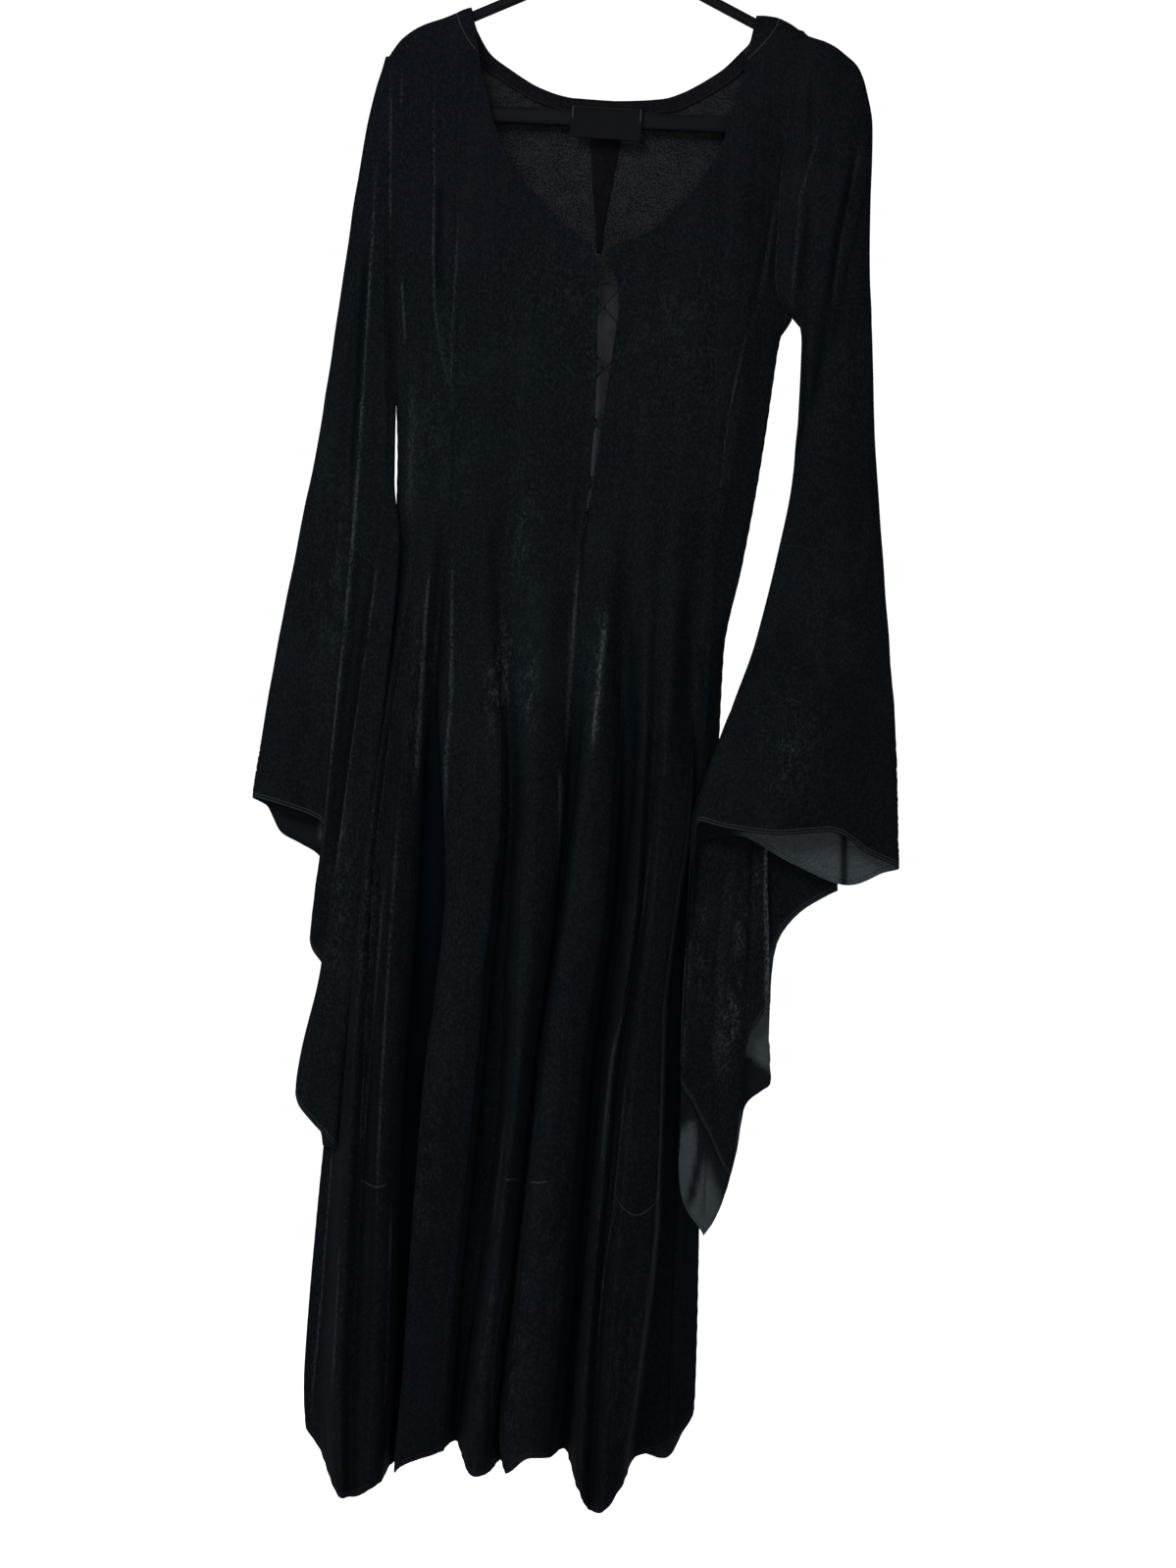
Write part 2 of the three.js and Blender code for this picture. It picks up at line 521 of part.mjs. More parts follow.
// Triangles of a wall from its two grids of points, with its four edges closed
function wallGeometry(sides, across, down) {
  const points = [...sides[0], ...sides[1]];
  const offset = across * down;
  const index = [];
  const quad = (a, b, c, d) => index.push(a, b, c, a, c, d);
  for (let r = 0; r < down - 1; r++) {
    for (let c = 0; c < across - 1; c++) {
      const a = r * across + c;
      quad(a, a + across, a + across + 1, a + 1);
      const b = a + offset;
      quad(b, b + 1, b + across + 1, b + across);
    }
  }
  const edge = (a, b) => quad(a, b, b + offset, a + offset);
  for (let c = 0; c < across - 1; c++) {
    edge(c, c + 1);
    const foot = (down - 1) * across + c;
    edge(foot + 1, foot);
  }
  for (let r = 0; r < down - 1; r++) {
    const start = r * across;
    edge(start + across, start);
    edge(start + across - 1, start + 2 * across - 1);
  }
  const geometry = new THREE.BufferGeometry();
  const flat = new Float32Array(points.length * 3);
  points.forEach((point, i) => point.toArray(flat, i * 3));
  geometry.setAttribute("position", new THREE.BufferAttribute(flat, 3));
  geometry.setIndex(index);
  return facingOut(geometry);
}

// Turns the triangles round where they face inwards
function facingOut(geometry) {
  const position = geometry.getAttribute("position");
  const index = Array.from(geometry.index.array);
  const a = new THREE.Vector3();
  const b = new THREE.Vector3();
  const c = new THREE.Vector3();
  let volume = 0;
  for (let i = 0; i < index.length; i += 3) {
    a.fromBufferAttribute(position, index[i]);
    b.fromBufferAttribute(position, index[i + 1]);
    c.fromBufferAttribute(position, index[i + 2]);
    volume += a.dot(b.cross(c));
  }
  if (volume < 0) {
    for (let i = 0; i < index.length; i += 3) {
      [index[i + 1], index[i + 2]] = [index[i + 2], index[i + 1]];
    }
    geometry.setIndex(index);
  }
  return geometry;
}

// Column places: even steps in each fold, and the extra places that lie between them
function columnPlaces(first, last, steps, extra) {
  const places = [];
  for (let i = first * steps; i <= last * steps; i++) {
    places.push(i / steps);
  }
  for (const place of extra) {
    const close = places.some((other) => Math.abs(other - place) < closestColumns);
    if (place > first && place < last && !close) {
      places.push(place);
    }
  }
  return places.sort((a, b) => a - b);
}

// One panel of the gown's body between two fold places. Its seams are drawn in by half a gap:
// all the way down inside the front or back, and below the underarm on the sides.
function bodyPanel(front, first, last, extra, rightOfSlit = false) {
  const hem = front ? frontHem : backHem;
  const lastPlace = front ? frontLast : backLast;
  const places = columnPlaces(first, last, bodySteps, extra);
  const tops = new Map();
  const topAt = (place) => {
    const key = place.toFixed(5);
    if (!tops.has(key)) {
      tops.set(key, topOf(front, place, rightOfSlit));
    }
    return tops.get(key);
  };
  const surface = (place, v) => {
    const inside = clamp(place, 0, lastPlace);
    const z = v < 1 ? mix(topAt(inside), waistHeight, v) : mix(waistHeight, hem(inside), v - 1);
    return bodyPoint(front, inside, z, rightOfSlit);
  };
  const underarmOf = (place) => {
    const right = front ? place > 1 : place < 1;
    return right ? underarmRight : underarmLeft;
  };
  const half = clothWall / 2;
  const sides = [[], []];
  const rows = [...bodiceRows, ...skirtRows.map((row) => row + 1)];
  for (const v of rows) {
    for (const place of places) {
      const alongU = surface(place + placeStep, v).sub(surface(place - placeStep, v));
      const alongV = surface(place, Math.min(2, v + rowStep)).sub(surface(place, Math.max(0, v - rowStep)));
      const point = surface(place, v);
      if (v === 0 && shoulderLine(point.x) - point.z < 1) {
        alongV.set(0, front ? -1 : 1, 0);
      }
      const normal = alongU.clone().cross(alongV).normalize();
      const atSide = place === 0 || place === lastPlace;
      const seamed = (place === first || place === last) && (!atSide || point.z < underarmOf(place));
      if (seamed) {
        point.addScaledVector(alongU.normalize(), place === first ? seamGap / 2 : -seamGap / 2);
      }
      sides[0].push(point.clone().addScaledVector(normal, half));
      sides[1].push(point.clone().addScaledVector(normal, -half));
    }
  }
  return wallGeometry(sides, places.length, rows.length);
}

// Folds of a sleeve as smooth curves down its length
function sleeveCurves(folds, levels, bellHeights, lean, top, underarm) {
  const heights = [...levels.map((level) => level.z), ...bellHeights];
  return folds.map((fold) => {
    const xs = [];
    const ys = [];
    for (const level of levels) {
      const arm = armholeDepth(level.z, top, underarm);
      const bulge = Math.sqrt(Math.max(0, 1 - fold.share ** 2)) * mix(arm, level.depth, Math.min(1, fold.share * 3));
      xs.push(mix(level.inner, level.outer, fold.share));
      ys.push(fold.side * (bulge + 0.4));
    }
    bellHeights.forEach((height, i) => {
      xs.push(fold.x[i]);
      ys.push(fold.depth);
    });
    const depth = smoothCurve(heights, ys);
    return { across: smoothCurve(heights, xs), depth: (z) => depth(z) + lean(z) };
  });
}

// One sleeve as a single cloth that closes at the seam through its long point
function sleevePanel(folds, levels, bellHeights, leanRows, top, underarm, heights, stepsOf) {
  const lean = curveOf(leanRows, "z", "y");
  const curves = sleeveCurves(folds, levels, bellHeights, lean, top, underarm);
  const last = folds.length - 1;
  const hem = smoothCurve(
    folds.map((fold, i) => i),
    folds.map((fold) => fold.hem),
  );
  const at = (i, z) => [curves[i].across(z), curves[i].depth(z)];
  const section = (place, z) => {
    const index = clamp(Math.floor(place), 0, last - 1);
    const w = sideBlend(z, underarm);
    const beyond = (edge, inner, other) => {
      const a = at(edge, z);
      const b = at(inner, z);
      const c = at(other, z);
      return [mix(2 * a[0] - b[0], c[0], w), mix(2 * a[1] - b[1], c[1], w)];
    };
    const before = index > 0 ? at(index - 1, z) : beyond(0, 1, last - 1);
    const after = index < last - 1 ? at(index + 2, z) : beyond(last, last - 1, 1);
    return betweenPoints(before, at(index, z), at(index + 1, z), after, place - index);
  };
  const rowHeight = (place, row) => {
    if (row < heights.length) {
      return heights[row];
    }
    const start = heights[heights.length - 1];
    return mix(start, hem(place), bellRows[row - heights.length]);
  };
  const surface = (place, row, nudge = 0) => {
    const z = rowHeight(place, row) + nudge;
    const [x, y] = section(place, z);
    return new THREE.Vector3(x, y, z);
  };
  const places = [];
  for (let i = 0; i < last; i++) {
    const steps = stepsOf(i);
    for (let k = 0; k < steps; k++) {
      places.push(i + k / steps);
    }
  }
  places.push(last);
  const rowCount = heights.length + bellRows.length;
  const half = clothWall / 2;
  const sides = [[], []];
  for (let row = 0; row < rowCount; row++) {
    for (const place of places) {
      const alongU = surface(Math.min(last, place + 2e-3), row).sub(surface(Math.max(0, place - 2e-3), row));
      const down = row === rowCount - 1 ? 0.4 : 0;
      const alongV = surface(place, row, down - 0.4).sub(surface(place, row, down));
      const normal = alongU.cross(alongV).normalize();
      const point = surface(place, row);
      sides[0].push(point.clone().addScaledVector(normal, half));
      sides[1].push(point.clone().addScaledVector(normal, -half));
    }
  }
  return wallGeometry(sides, places.length, rowCount);
}

const outlineLeft = curveOf(bodyLevels, "z", "left");
const outlineRight = curveOf(bodyLevels, "z", "right");

// The place on the front or the back that shows at x and z from the front
function placeAt(front, x, z) {
  const folds = front ? frontFolds : backFolds;
  const share = clamp((x - outlineLeft(z)) / (outlineRight(z) - outlineLeft(z)), 0, 1);
  let place = 0;
  for (let i = 0; i < folds.length - 1; i++) {
    const a = folds[i].share;
    const b = folds[i + 1].share;
    if ((share - a) * (share - b) <= 0) {
      place = i + (share - a) / (b - a);
    }
  }
  const step = 0.01;
  for (let i = 0; i < 6; i++) {
    const here = bodyPoint(front, place, z).x;
    const slope = bodyPoint(front, place + step, z).x - here;
    place = clamp(place - (step * (here - x)) / slope, 0, folds.length - 1 - step);
  }
  return place;
}

// A point inside the gown, the given lift off the inner face of its front or back
function insidePoint(front, x, z, lift) {
  const place = placeAt(front, x, z);
  const point = bodyPoint(front, place, z);
  const alongU = bodyPoint(front, place + 0.01, z).sub(bodyPoint(front, place - 0.01, z));
  const alongV = bodyPoint(front, place, z - 0.5).sub(bodyPoint(front, place, z + 0.5));
  const normal = alongU.cross(alongV).normalize();
  if (normal.y < 0 === front) {
    normal.negate();
  }
  return point.addScaledVector(normal, clothWall / 2 + lift);
}

function bandGeometry() {
  const outline = new THREE.CatmullRomCurve3(
    backNeck.map((row) => new THREE.Vector3(row.x, 0, row.z)),
    false,
    "centripetal",
  );
  const columns = [];
  const count = 34;
  for (let i = 0; i <= count; i++) {
    columns.push(mix(0.035, 0.95, i / count));
  }
  const rows = [0, 0.5, 1];
  const surface = (u, v) => {
    const edge = outline.getPoint(u);
    const way = outline.getTangent(u);
    const x = edge.x + way.z * pressedWidth * v;
    const z = edge.z - Math.abs(way.x) * pressedWidth * v - 0.4;
    const nearShoulder = Math.abs(2 * u - 1) ** 2.5;
    return insidePoint(false, x, z, seamGap + trimWall / 2 + bandEase * nearShoulder);
  };
  return clothSolid(surface, columns, rows, trimWall, [0.001, 0.999]);
}

// The pressed seam at the centre back: wide below the neck, then narrow to a point
function stripGeometry() {
  const edges = [
    { z: -225.5, left: -20.5, right: 8.6 },
    { z: -246, left: -19.6, right: 9.6 },
    { z: -270, left: -17, right: 6.7 },
    { z: -300, left: -13.6, right: 3 },
    { z: -330, left: -9.6, right: -0.6 },
    { z: -356, left: -7, right: -2.6 },
  ];
  const leftEdge = curveOf(edges, "z", "left");
  const rightEdge = curveOf(edges, "z", "right");
  const surface = (u, v) => {
    const z = mix(edges[0].z, edges[edges.length - 1].z, v);
    return insidePoint(false, mix(leftEdge(z), rightEdge(z), u), z, seamGap + trimWall / 2);
  };
  return clothSolid(surface, [0, 0.5, 1], [0, 0.16, 0.34, 0.57, 0.8, 1], trimWall, [0, 1]);
}

// The blank label: sewn to the band, laid over the bar and hanging in front of it
function labelGeometry() {
  const line = new THREE.CatmullRomCurve3(
    [
      [10.1, -211.5],
      [9.4, -215],
      [4.4, -218.4],
      [-2, -219.6],
      [-6.2, -222.4],
      [-7.4, -229],
      [-7.4, -240],
      [-7.2, labelHang],
    ].map(([y, z]) => new THREE.Vector3(0, y, z)),
  );
  const surface = (u, v) => {
    const point = line.getPoint(v);
    point.x = mix(labelLeft, labelRight, u);
    point.y += 0.5 * Math.sin(Math.PI * u) * v;
    return point;
  };
  const rows = [];
  for (let i = 0; i <= 14; i++) {
    rows.push(i / 14);
  }
  return clothSolid(surface, [0, 0.25, 0.5, 0.75, 1], rows, labelWall, [0, 1]);
}

function roundSection(radius, sides) {
  const shape = new THREE.Shape();
  for (let i = 0; i < sides; i++) {
    const angle = (i / sides) * Math.PI * 2;
    const x = radius * Math.cos(angle);
    const y = radius * Math.sin(angle);
    if (i === 0) {
      shape.moveTo(x, y);
    } else {
      shape.lineTo(x, y);
    }
  }
  shape.closePath();
  return shape;
}

const tube = (curve, radius, sides, steps) =>
  new THREE.ExtrudeGeometry(roundSection(radius, sides), { steps, extrudePath: curve, bevelEnabled: false });

// Tapes of loops behind the slit's edges, on the inner face of the front
const slitEdge = (side, z) => bodyPoint(true, centreFront, z, side > 0);
function tapeGeometry(side) {
  const surface = (u, v) => {
    const z = mix(tapeTop, tapeFoot, v);
    const edge = slitEdge(side, z);
    const away = tapeInset + tapeWide * u;
    return insidePoint(true, edge.x + side * away, z, seamGap + tapeEase + trimWall / 2);
  };
  return clothSolid(surface, [0, 0.5, 1], [0, 0.15, 0.3, 0.5, 0.75, 1], trimWall, [0, 1]);
}

// The lace crosses the slit in pairs behind the tapes, down one way and up the other, with a
// double bar on top. near and far are the depths of its two runs behind the front.
function laceGeometry() {
  const near = clothWall / 2 + seamGap * 3 + tapeEase + trimWall + laceDiameter / 2;
  const far = near + laceDiameter + seamGap;
  const stops = [{ side: -1, rung: 0.16, run: near, end: 4 }];
  stops.push({ side: 1, rung: -0.02, run: near });
  for (let i = 1; i <= laceRungs; i++) {
    stops.push({ side: i % 2 ? -1 : 1, rung: i, run: near });
  }
  for (let i = laceRungs; i >= 1; i--) {
    stops.push({ side: i % 2 ? 1 : -1, rung: i + 0.06, run: far });
  }
  stops.push({ side: -1, rung: 0.12, run: far });
  stops.push({ side: 1, rung: 0.1, run: far, end: 4 });
  const points = stops.map(({ side, rung, run, end = 0 }) => {
    const z = laceTop - rung * lacePitch;
    const edge = slitEdge(side, z);
    return new THREE.Vector3(edge.x + side * (laceHold - end), edge.y + run, z);
  });
  return tube(new THREE.CatmullRomCurve3(points, false, "centripetal"), laceDiameter / 2, 8, 48);
}

// A solid for joining
function solidOf(geometry) {
  const plain = geometry.index ? geometry.toNonIndexed() : geometry.clone();
  plain.deleteAttribute("normal");
  plain.deleteAttribute("uv");
  const merged = mergeVertices(plain, 1e-4);
  return new wasm.Manifold(
    new wasm.Mesh({
      numProp: 3,
      vertProperties: merged.attributes.position.array,
      triVerts: new Uint32Array(merged.index.array),
    }),
  );
}

function geometryOf(solid) {
  const mesh = solid.getMesh();
  const geometry = new THREE.BufferGeometry();
  const flat = new Float32Array(mesh.numVert * 3);
  for (let i = 0; i < mesh.numVert; i++) {
    flat.set(mesh.vertProperties.subarray(i * mesh.numProp, i * mesh.numProp + 3), i * 3);
  }
  geometry.setAttribute("position", new THREE.BufferAttribute(flat, 3));
  geometry.setIndex(Array.from(mesh.triVerts));
  return geometry;
}

// A rounded bar section, wide in the first direction and tall in the second
function barSection(wide, tall) {
  const shape = new THREE.Shape();
  const sides = 10;
  for (let i = 0; i < sides; i++) {
    const angle = ((i + 0.5) / sides) * Math.PI * 2;
    const x = (wide / 2) * Math.sign(Math.cos(angle)) * Math.abs(Math.cos(angle)) ** 0.6;
    const y = (tall / 2) * Math.sign(Math.sin(angle)) * Math.abs(Math.sin(angle)) ** 0.6;
    if (i === 0) {
      shape.moveTo(x, y);
    } else {
      shape.lineTo(x, y);
    }
  }
  shape.closePath();
  return shape;
}

// Hanger: two sloping arms that turn down at the tips, joined below by a level bar
function hangerGeometry() {
  const tipDrop = armApexTop - armHeight / 2 - armSlope * armReach;
  const arm = (side) => {
    const path = new THREE.CatmullRomCurve3([
      new THREE.Vector3(-side * 1.5, 0, armApexTop - armHeight / 2 + 0.5),
      new THREE.Vector3(side * 14, 0, armApexTop - armHeight / 2 - 4),
      new THREE.Vector3(side * 70, 0, armApexTop - armHeight / 2 - armSlope * 70),
      new THREE.Vector3(side * 140, 0, armApexTop - armHeight / 2 - armSlope * 140),
      new THREE.Vector3(side * (armReach - 8), 0, tipDrop + 4),
      new THREE.Vector3(side * (armReach + 3), 0, tipDrop - 9),
      new THREE.Vector3(side * (armReach + 2), 0, tipDrop - 32),
      new THREE.Vector3(side * (armReach - 6), 0, barHeight + 8),
      new THREE.Vector3(side * (armReach - 20), 0, barHeight),
    ]);
    return new THREE.ExtrudeGeometry(barSection(armThickness, armHeight), {
      steps: 16,
      extrudePath: path,
      bevelEnabled: false,
    });
  };
  const barHalf = armReach - 16;
  const bar = new THREE.ExtrudeGeometry(barSection(armThickness, barSize), {
    steps: 1,
    depth: barHalf * 2,
    bevelEnabled: false,
  });
  bar.rotateY(Math.PI / 2);
  bar.rotateX(Math.PI / 2);
  bar.translate(-barHalf, 0, barHeight);
  const neck = new THREE.CylinderGeometry(5, 7, 20, 12);
  neck.rotateX(Math.PI / 2);
  neck.translate(0, 0, armApexTop - 3);
  return geometryOf(solidOf(arm(-1)).add(solidOf(arm(1))).add(solidOf(bar)).add(solidOf(neck)));
}

// Hook: a straight stem that turns into three quarters of a circle over the rail
function hookGeometry() {
  const top = hookWire / 2;
  const centre = top - hookRadius;
  const stemTop = centre - hookRadius - 6;
  const points = [new THREE.Vector3(0, 0, armApexTop + 7.3), new THREE.Vector3(0, 0, stemTop)];
  const first = THREE.MathUtils.degToRad(-52);
  const last = THREE.MathUtils.degToRad(196);
  for (let i = 0; i <= 10; i++) {
    const angle = mix(first, last, i / 10);
    points.push(new THREE.Vector3(hookRadius * Math.cos(angle), 0, centre + hookRadius * Math.sin(angle)));
  }
  return tube(new THREE.CatmullRomCurve3(points, false, "centripetal"), hookWire / 2, 8, 24);
}

const group = new THREE.Group();

function piece(name, geometry, finish, parent = group) {
  const mesh = new THREE.Mesh(geometry, new THREE.MeshStandardMaterial({ ...finish, side: THREE.DoubleSide }));
  mesh.name = name;
  parent.add(mesh);
  return mesh;
}

// Body panels, left to right on the front and right to left on the back
const neckPlaces = (front, edge) => edge.map((row) => placeAt(front, row.x, row.z));
const corner = (x, z) => [-2, 0, 1.5].map((step) => ({ x: x + step * Math.sign(x) * -1, z }));
const neckLeft = neckPlaces(true, [...corner(-142, -135), ...frontNeckLeft.slice(0, 5)]);
const neckRight = neckPlaces(true, [...corner(133, -132), ...frontNeckRight.slice(4)]);
const neckBack = neckPlaces(false, [...corner(-142, -135), ...corner(133, -132), ...backNeck.slice(0, 4)]);
piece("front_side_left", bodyPanel(true, 0, princessLeft, neckLeft), velvet);
piece("front_centre_left", bodyPanel(true, princessLeft, centreFront, neckLeft), velvet);
piece("front_centre_right", bodyPanel(true, centreFront, princessRight, neckRight, true), velvet);
piece("front_side_right", bodyPanel(true, princessRight, frontLast, [frontLast - 0.5, frontLast - 0.17]), velvet);
piece("back_right", bodyPanel(false, 0, centreBack, neckBack), velvet);
piece("back_left", bodyPanel(false, centreBack, backLast, neckBack), velvet);

// Sleeves
const rightRows = [
  -134.5, -137, -140, -144, -150, -160, -180, -220, -300, -385, -411, -432, -520, -620, -720, -811,
];
const leftRows = [-183, -192, -206, -230, -270, -340, -420, -490, -560, -620, -690, -770, -852];
piece(
  "sleeve_right",
  sleevePanel(
    rightSleeveFolds,
    rightSleeveLevels,
    rightBellHeights,
    rightLean,
    armholeTopRight,
    underarmRight,
    rightRows,
    (i) => (i >= 5 && i <= 9 ? 2 : 1),
  ),
  velvet,
);
piece(
  "sleeve_left",
  sleevePanel(
    leftSleeveFolds,
    leftSleeveLevels,
    leftBellHeights,
    leftLean,
    armholeTopLeft,
    underarmLeft,
    leftRows,
    (i) => (i < 4 || i === 8 ? 1 : 2),
  ),
  velvet,
);

// Trim inside the neck
piece("neck_band", bandGeometry(), velvet);
piece("back_seam_strip", stripGeometry(), backing);
piece("neck_label", labelGeometry(), satin);

// Lace and the tapes that hold it
piece("front_lace", laceGeometry(), cord);
piece("lace_tape_left", tapeGeometry(-1), velvet);
piece("lace_tape_right", tapeGeometry(1), velvet);

// Hanger, tilted a little as it hangs
const hanger = new THREE.Group();
hanger.rotation.y = -hangerTilt;
group.add(hanger);
piece("hanger", hangerGeometry(), plastic, hanger);
piece("hanger_hook", hookGeometry(), steel, hanger);

export default group;
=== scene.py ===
import math
import bpy
import numpy as np
from mathutils import Matrix


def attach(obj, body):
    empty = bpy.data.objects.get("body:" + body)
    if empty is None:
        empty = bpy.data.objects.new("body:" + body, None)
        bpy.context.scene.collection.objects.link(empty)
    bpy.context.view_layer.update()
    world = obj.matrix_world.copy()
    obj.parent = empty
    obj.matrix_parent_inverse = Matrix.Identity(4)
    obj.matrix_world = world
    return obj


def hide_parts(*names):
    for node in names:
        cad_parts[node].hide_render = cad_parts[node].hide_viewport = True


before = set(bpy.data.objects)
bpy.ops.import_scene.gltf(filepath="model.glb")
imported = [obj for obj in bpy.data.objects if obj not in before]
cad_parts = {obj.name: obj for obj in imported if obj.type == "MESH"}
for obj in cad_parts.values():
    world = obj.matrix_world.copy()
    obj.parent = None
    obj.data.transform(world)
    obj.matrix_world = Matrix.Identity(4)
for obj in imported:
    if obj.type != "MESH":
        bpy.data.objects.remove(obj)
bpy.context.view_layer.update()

# A long black velvet gown with bell sleeves and a laced front slit, hung on a clothes hanger.
# The tables are in millimetres; the front faces -Y and the origin is the inside of the hook.
scene = bpy.context.scene

# Camera at the photograph's viewing angle: level with the hips, rolled a little
cameraLook = {"place": (0.0164, -2.4, -0.874), "lens": 37.918, "sensor": 24.0, "roll": 3.5}


def addObject(name, data):
    made = bpy.data.objects.new(name, data)
    scene.collection.objects.link(made)
    return made


def makeCamera():
    data = bpy.data.cameras.new("photoCamera")
    data.sensor_fit = "VERTICAL"
    data.sensor_height = cameraLook["sensor"]
    data.lens = cameraLook["lens"]
    roll = math.radians(cameraLook["roll"])
    c, s = math.cos(roll), math.sin(roll)
    x, y, z = cameraLook["place"]
    scene.camera = addObject("photoCamera", data)
    scene.camera.matrix_world = Matrix(((c, -s, 0, x), (0, 0, -1, y), (s, c, 0, z), (0, 0, 0, 1)))


makeCamera()
print("camera ready")

# Studio: a pale room, a soft light from the upper left, one by the camera, one at the left and one
# behind; each has its place, size and power
studio = {
    "room": 1.08,
    "floor": (0.96, 0.96, 0.96, 1),
    "floorHeight": -2.0,
    "floorSize": 18.0,
    "aim": (0.0, 0.0, -0.8),
    "lights": [
        ("keyLight", (-0.7, -2.0, 0.35), 0.8, 92.0),
        ("fillLight", (0.25, -2.4, -0.95), 0.5, 34.0),
        ("leftLight", (-2.2, -0.9, 0.2), 0.8, 40.0),
        ("backLight", (0.8, 2.2, 0.3), 1.6, 40.0),
    ],
}


def makeStudio():
    world = bpy.data.worlds.new("paleRoom")
    world.use_nodes = True
    room = world.node_tree.nodes["Background"].inputs
    room["Color"].default_value = (1, 1, 1, 1)
    room["Strength"].default_value = studio["room"]
    scene.world = world
    scene.view_settings.view_transform = "Standard"
    for name, place, size, power in studio["lights"]:
        data = bpy.data.lights.new(name, "AREA")
        data.size = size
        data.energy = power
        aim = np.array(studio["aim"]) - np.array(place)
        aim /= np.linalg.norm(aim)
        side = np.cross(aim, (0, 0, 1))
        side /= np.linalg.norm(side)
        turn = np.column_stack([side, np.cross(side, aim), -aim, place])
        addObject(name, data).matrix_world = Matrix([*turn.tolist(), [0, 0, 0, 1]])
    half = studio["floorSize"] / 2
    z = studio["floorHeight"]
    mesh = bpy.data.meshes.new("paleFloor")
    mesh.from_pydata([(-half, -half, z), (half, -half, z), (half, half, z), (-half, half, z)], [], [(0, 1, 2, 3)])
    pale = bpy.data.materials.new("paleFloor")
    pale.use_nodes = True
    sockets = pale.node_tree.nodes["Principled BSDF"].inputs
    sockets["Base Color"].default_value = studio["floor"]
    sockets["Roughness"].default_value = 1.0
    mesh.materials.append(pale)
    addObject("paleFloor", mesh)


makeStudio()
print("studio ready")


class Value:
    # A socket in a finish; sums, products and quotients of it add Math nodes
    def __init__(self, finish, socket):
        self.finish = finish
        self.socket = socket

    def maths(self, operation, *given):
        return self.finish.node("ShaderNodeMath", {"operation": operation}, dict(enumerate(given)))

    def __add__(self, other):
        return self.maths("ADD", self, other)

    __radd__ = __add__

    def __mul__(self, other):
        return self.maths("MULTIPLY", self, other)

    __rmul__ = __mul__

    def __sub__(self, other):
        return self.maths("SUBTRACT", self, other)

    def __rsub__(self, other):
        return self.maths("SUBTRACT", other, self)

    def __truediv__(self, other):
        return self.maths("DIVIDE", self, other)

    def __abs__(self):
        return self.maths("ABSOLUTE", self)

    def fraction(self):
        return self.maths("FRACT", self)

    def sine(self):
        return self.maths("SINE", self)

    def least(self, other):
        return self.maths("MINIMUM", self, other)

    def ease(self, low, high):
        # 0 at low, 1 at high, smooth between them
        settings = {"interpolation_type": "SMOOTHSTEP"}
        return self.finish.node("ShaderNodeMapRange", settings, {"Value": self, "From Min": low, "From Max": high})


class Finish:
    # A material: one Principled shader whose fixed values are set on its own sockets
    def __init__(self, name, fixed):
        self.material = bpy.data.materials.new(name)
        self.material.use_nodes = True
        self.tree = self.material.node_tree
        self.shader = self.tree.nodes["Principled BSDF"]
        for socket, value in fixed.items():
            self.shader.inputs[socket].default_value = value

    def node(self, kind, settings={}, inputs={}, out=0):
        # Settings come first, then each socket gets a value or a link
        made = self.tree.nodes.new(kind)
        for key, value in settings.items():
            setattr(made, key, value)
        for key, value in inputs.items():
            socket = made.inputs[key]
            if isinstance(value, Value):
                self.tree.links.new(value.socket, socket)
            else:
                socket.default_value = value
        return Value(self, made.outputs[out])

    def feed(self, socket, value):
        self.tree.links.new(value.socket, self.shader.inputs[socket])

    def place(self):
        return self.node("ShaderNodeTexCoord", out="Object")

    def uv(self):
        return self.node("ShaderNodeUVMap", {"uv_map": "cloth"})

    def attribute(self, name):
        return self.node("ShaderNodeAttribute", {"attribute_name": name}, out="Fac")

    def split(self, vector, part):
        return self.node("ShaderNodeSeparateXYZ", {}, {0: vector}, out=part)

    def stretched(self, vector, scale):
        return self.node("ShaderNodeMapping", {}, {"Vector": vector, "Scale": scale})

    def noise(self, vector, scale, detail=2.0, rough=0.5):
        return self.node("ShaderNodeTexNoise", {},
                         {"Vector": vector, "Scale": scale, "Detail": detail, "Roughness": rough})

    def blend(self, share, a, b):
        return self.node("ShaderNodeMix", {"data_type": "RGBA"}, {0: share, 6: a, 7: b}, out=2)

    def bump(self, height, distance, strength):
        return self.node("ShaderNodeBump", {}, {"Height": height, "Distance": distance, "Strength": strength})


# Curves, sections and the unevenness of cloth
def smoothCurve(places, values):
    # Monotone cubic through (place, value) pairs: the slope at each place is the harmonic
    # mean of the slopes beside it, so the curve never swings past its values
    x, y = np.array(places, float), np.array(values, float)
    if x[0] > x[-1]:
        x, y = x[::-1], y[::-1]
    slope = np.diff(y) / np.diff(x)
    tangent = np.concatenate([slope[:1], np.zeros(len(x) - 2), slope[-1:]])
    before, after = slope[:-1], slope[1:]
    same = before * after > 0
    tangent[1:-1][same] = (2 * before * after)[same] / (before + after)[same]

    def at(place):
        p = np.clip(place, x[0], x[-1])
        i = np.clip(np.searchsorted(x, p, side="right") - 1, 0, len(x) - 2)
        span = x[i + 1] - x[i]
        t = (p - x[i]) / span
        a, b = 2 * t**3 - 3 * t**2 + 1, t**3 - 2 * t**2 + t
        c, d = 3 * t**2 - 2 * t**3, t**3 - t**2
        return a * y[i] + b * span * tangent[i] + c * y[i + 1] + d * span * tangent[i + 1]

    return at


def rowCurve(rows, given, wanted):
    return smoothCurve([row[given] for row in rows], [row[wanted] for row in rows])


def mix(a, b, t):
    return a + (b - a) * t


def ease(value, low, high):
    t = np.clip((value - low) / (high - low), 0, 1)
    return t * t * (3 - 2 * t)


